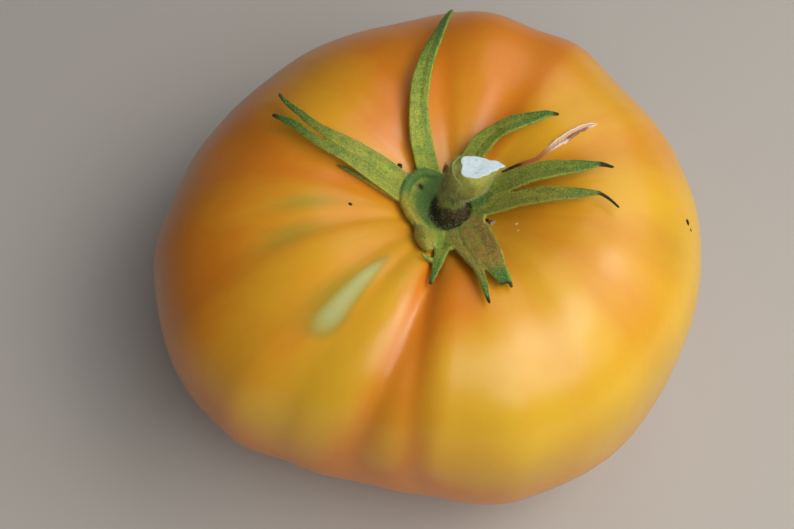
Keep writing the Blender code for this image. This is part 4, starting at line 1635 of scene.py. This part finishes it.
@dataclass
class Crack:
    """The healed growth crack: a dark slit, then scarred skin, then a lens of torn and dried tissue."""

    skin: Skin
    finish: HealedTissue = field(default_factory=HealedTissue)
    line: tuple[CrackStation, ...] = places(
        CrackStation,
        (14.0, 2.45, 0.20, 0.20),
        (15.4, 2.60, 0.40, 0.36),
        (17.0, 2.75, 0.42, 0.42),
        (18.6, 2.85, 0.40, 0.45),
        (20.3, 3.10, 0.45, 0.50),
        (22.1, 4.20, 0.55, 0.60),
        (23.7, 5.25, 0.85, 0.85),
        (25.2, 6.20, 1.05, 0.90),
        (26.5, 7.05, 0.75, 0.85),
        (28.2, 8.00, 0.60, 0.75),
        (29.8, 8.85, 0.50, 0.55),
        (31.4, 9.60, 0.15, 0.20),
    )
    steps: int = 24
    lanes: int = 25
    bury: float = 0.30 * MM
    ragged: float = 0.30
    ridge: float = 0.42 * MM
    lens_from: float = 0.46
    lens_soft: float = 0.08
    tear_size: float = 0.55 * MM
    crumb_size: float = 0.32 * MM
    crumb_height: float = 0.10 * MM
    lip_place: float = 0.62
    lip_width: float = 0.22
    proud: float = 0.05 * MM

    def build(self) -> bpy.types.Object:
        """The crack as one closed strip let into the skin, riding on the body."""
        rows = smooth_rows(np.array(self.line), self.steps)
        count = len(rows)
        work = bmesh.new()
        top, bottom, along, across = [], [], [], []
        for k, (x, y, near, far) in enumerate(rows):
            share = k / (count - 1)
            ahead, behind = rows[min(k + 1, count - 1)], rows[max(k - 1, 0)]
            way = Vector((ahead[0] - behind[0], ahead[1] - behind[1])).normalized()
            side = Vector((-way.y, way.x))
            opens, closes = share - self.lens_from, 1 - share
            lens = float(eased(opens / self.lens_soft) * eased(closes / self.lens_soft))
            upper, lower = [], []
            for j in range(self.lanes):
                v = 2 * j / (self.lanes - 1) - 1
                reach = far if v > 0 else near
                tear = noise.noise(Vector((x, y, math.copysign(1.0, v) * 0.02)) / self.tear_size)
                reach *= 1 + self.ragged * tear * (0.3 + 0.7 * lens)
                place = Vector((x, y)) + side * v * reach
                edge = abs(v)
                lip = math.exp(-(((edge - self.lip_place) / self.lip_width) ** 2))
                lip *= 1.0 if v > 0 else 0.75
                crumb = noise.noise(Vector((place.x, place.y, 0.0)) / self.crumb_size) * self.crumb_height
                rise = lens * (self.ridge * lip + crumb + self.proud) + self.proud
                rise -= self.bury * float(eased((edge - 0.78) / 0.22))
                upper.append(work.verts.new(self.skin.above(place, rise)))
                lower.append(work.verts.new(self.skin.above(place, -self.bury - 0.25 * MM)))
                along.append(share)
                across.append(v)
            top.append(upper)
            bottom.append(lower)
        for k in range(count - 1):
            for j in range(self.lanes - 1):
                work.faces.new((top[k][j], top[k + 1][j], top[k + 1][j + 1], top[k][j + 1]))
                work.faces.new((bottom[k][j], bottom[k][j + 1], bottom[k + 1][j + 1], bottom[k + 1][j]))
            for j in (0, self.lanes - 1):
                work.faces.new((top[k][j], bottom[k][j], bottom[k + 1][j], top[k + 1][j]))
        for k in (0, count - 1):
            for j in range(self.lanes - 1):
                work.faces.new((top[k][j], top[k][j + 1], bottom[k][j + 1], bottom[k][j]))
        bmesh.ops.recalc_face_normals(work, faces=work.faces)
        mesh = made_mesh(work, "crack")
        write_attribute(mesh, "along", np.repeat(along, 2))
        write_attribute(mesh, "across", np.repeat(across, 2))
        crack = plain_object("tomato_healed_crack", mesh)
        mesh.materials.append(self.finish.material())
        mesh.shade_smooth()
        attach(crack, BODY)
        return crack


@dataclass
class Down:
    """The fine hairs that stand on a green piece."""

    carrier: bpy.types.Object
    tree: bpy.types.NodeTree
    name: str
    slot: str
    seed: int
    per_area: float = 9.0e6
    length: float = 0.50 * MM
    thickness: float = 0.026 * MM
    lean: float = 0.7
    where: str = "hairy"
    finish: PlantHair = field(default_factory=PlantHair)

    def build(self) -> bpy.types.Object:
        """The hairs as one piece, riding on the body."""
        hairs = plain_object(self.name, self.carrier.data.copy())
        values = {
            "Per area": self.per_area,
            "Length": self.length,
            "Thickness": self.thickness,
            "Lean": self.lean,
            "Where": self.where,
            "Seed": self.seed,
            "Finish": self.finish.material(),
        }
        with_tree(hairs, self.tree, values)
        hairs.data.shade_flat()
        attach(hairs, BODY)
        return hairs


class Lamp(NamedTuple):
    """A soft light: its name, place and width in metres, power in watts, and colour."""

    name: str
    place: tuple[float, float, float]
    size: float
    power: float
    tint: str


@dataclass(frozen=True)
class Studio:
    """The plain pale floor, the soft lights and the camera."""

    lens: float = 60.0
    film: float = 36.0
    elevation: float = 58.0
    distance: float = 256.0 * MM
    target: tuple[float, float, float] = (-4.9 * MM, -3.4 * MM, 29.4 * MM)
    nearest_seen: float = 0.01
    floor_size: float = 3.0
    floor_drop: float = 0.02 * MM
    floor_colour: str = "#BDB8B0"
    sky_colour: str = "#E8EEF6"
    sky_strength: float = 0.05
    lamps: tuple[Lamp, ...] = (
        Lamp("key", (0.28, -0.04, 0.42), 0.24, 0.50, "#FFF8F0"),
        Lamp("key_cloud", (0.36, -0.10, 0.42), 0.60, 0.90, "#FFF8F0"),
        Lamp("back", (0.28, 0.28, 0.44), 0.60, 0.70, "#F6F8FF"),
        Lamp("front", (0.20, -0.38, 0.50), 0.60, 2.25, "#FFFFFF"),
    )

    def floor(self) -> None:
        """A wide pale floor just under the fruit."""
        mesh = bpy.data.meshes.new("floor")
        half, down = self.floor_size / 2, -self.floor_drop
        corners = [(-half, -half, down), (half, -half, down), (half, half, down), (-half, half, down)]
        mesh.from_pydata(corners, [], [(0, 1, 2, 3)])
        made, _, shader = new_material("matt_pale_board")
        shader.inputs["Base Color"].default_value = linear(self.floor_colour)
        shader.inputs["Roughness"].default_value = 0.9
        mesh.materials.append(made)
        plain_object("floor", mesh)

    def light(self, lamp: Lamp) -> None:
        """Hangs one large soft light aimed at the fruit.

        Args:
            lamp: Its sizes and colour.
        """
        data = bpy.data.lights.new(lamp.name, "AREA")
        data.shape = "DISK"
        data.size = lamp.size
        data.energy = lamp.power
        data.color = linear(lamp.tint)[:3]
        hung = bpy.data.objects.new(lamp.name, data)
        hung.location = lamp.place
        way = Vector(self.target) - Vector(lamp.place)
        hung.rotation_euler = way.to_track_quat("-Z", "Y").to_euler()
        bpy.context.scene.collection.objects.link(hung)

    def camera(self) -> None:
        """The camera at the photograph's angle."""
        data = bpy.data.cameras.new("camera")
        data.lens = self.lens
        data.sensor_width = self.film
        data.clip_start = self.nearest_seen
        data.dof.use_dof = False
        climb = math.radians(self.elevation)
        back = Vector((0, -math.cos(climb), math.sin(climb)))
        made = bpy.data.objects.new("camera", data)
        made.location = Vector(self.target) + back * self.distance
        made.rotation_euler = (-back).to_track_quat("-Z", "Y").to_euler()
        bpy.context.scene.collection.objects.link(made)
        bpy.context.scene.camera = made

    def build(self) -> None:
        """Everything round the part that isn't part of it."""
        self.floor()
        self.camera()
        for lamp in self.lamps:
            self.light(lamp)
        world = bpy.data.worlds.new("studio")
        world.use_nodes = True
        sky = world.node_tree.nodes["Background"]
        sky.inputs["Color"].default_value = linear(self.sky_colour)
        sky.inputs["Strength"].default_value = self.sky_strength
        bpy.context.scene.world = world
        bpy.context.scene.view_settings.view_transform = "Standard"


def main() -> None:
    """Builds the stage and the pieces in order, and writes how large they came out."""
    logging.basicConfig(level=logging.INFO, format="%(name)s: %(message)s")
    Studio().build()
    fruit = Fruit().build()
    skin = Skin(fruit)
    calyx = Calyx(skin).build()
    stem = Stem(skin).build()
    hairs = hair_tree()
    calyx_down = Down(calyx, hairs, "calyx_down", "green_calyx", 11).build()
    stem_down = Down(stem, hairs, "stem_down", "green_stem", 12, per_area=16.0e6, length=0.85 * MM).build()
    bristle = PlantHair("foot_bristle", "#7C5F2B", "#1C150B")
    foot_bristles = Down(
        stem,
        hairs,
        "stem_foot_bristles",
        "green_stem",
        13,
        per_area=14.0e6,
        length=0.55 * MM,
        thickness=0.035 * MM,
        lean=0.9,
        where="bristly",
        finish=bristle,
    ).build()
    pieces = [fruit, calyx, stem, calyx_down, stem_down, foot_bristles, Crack(skin).build()]
    for piece in pieces:
        LOG.info("%s: %d faces", piece.name, len(piece.data.polygons))


if __name__ == "__main__":
    main()
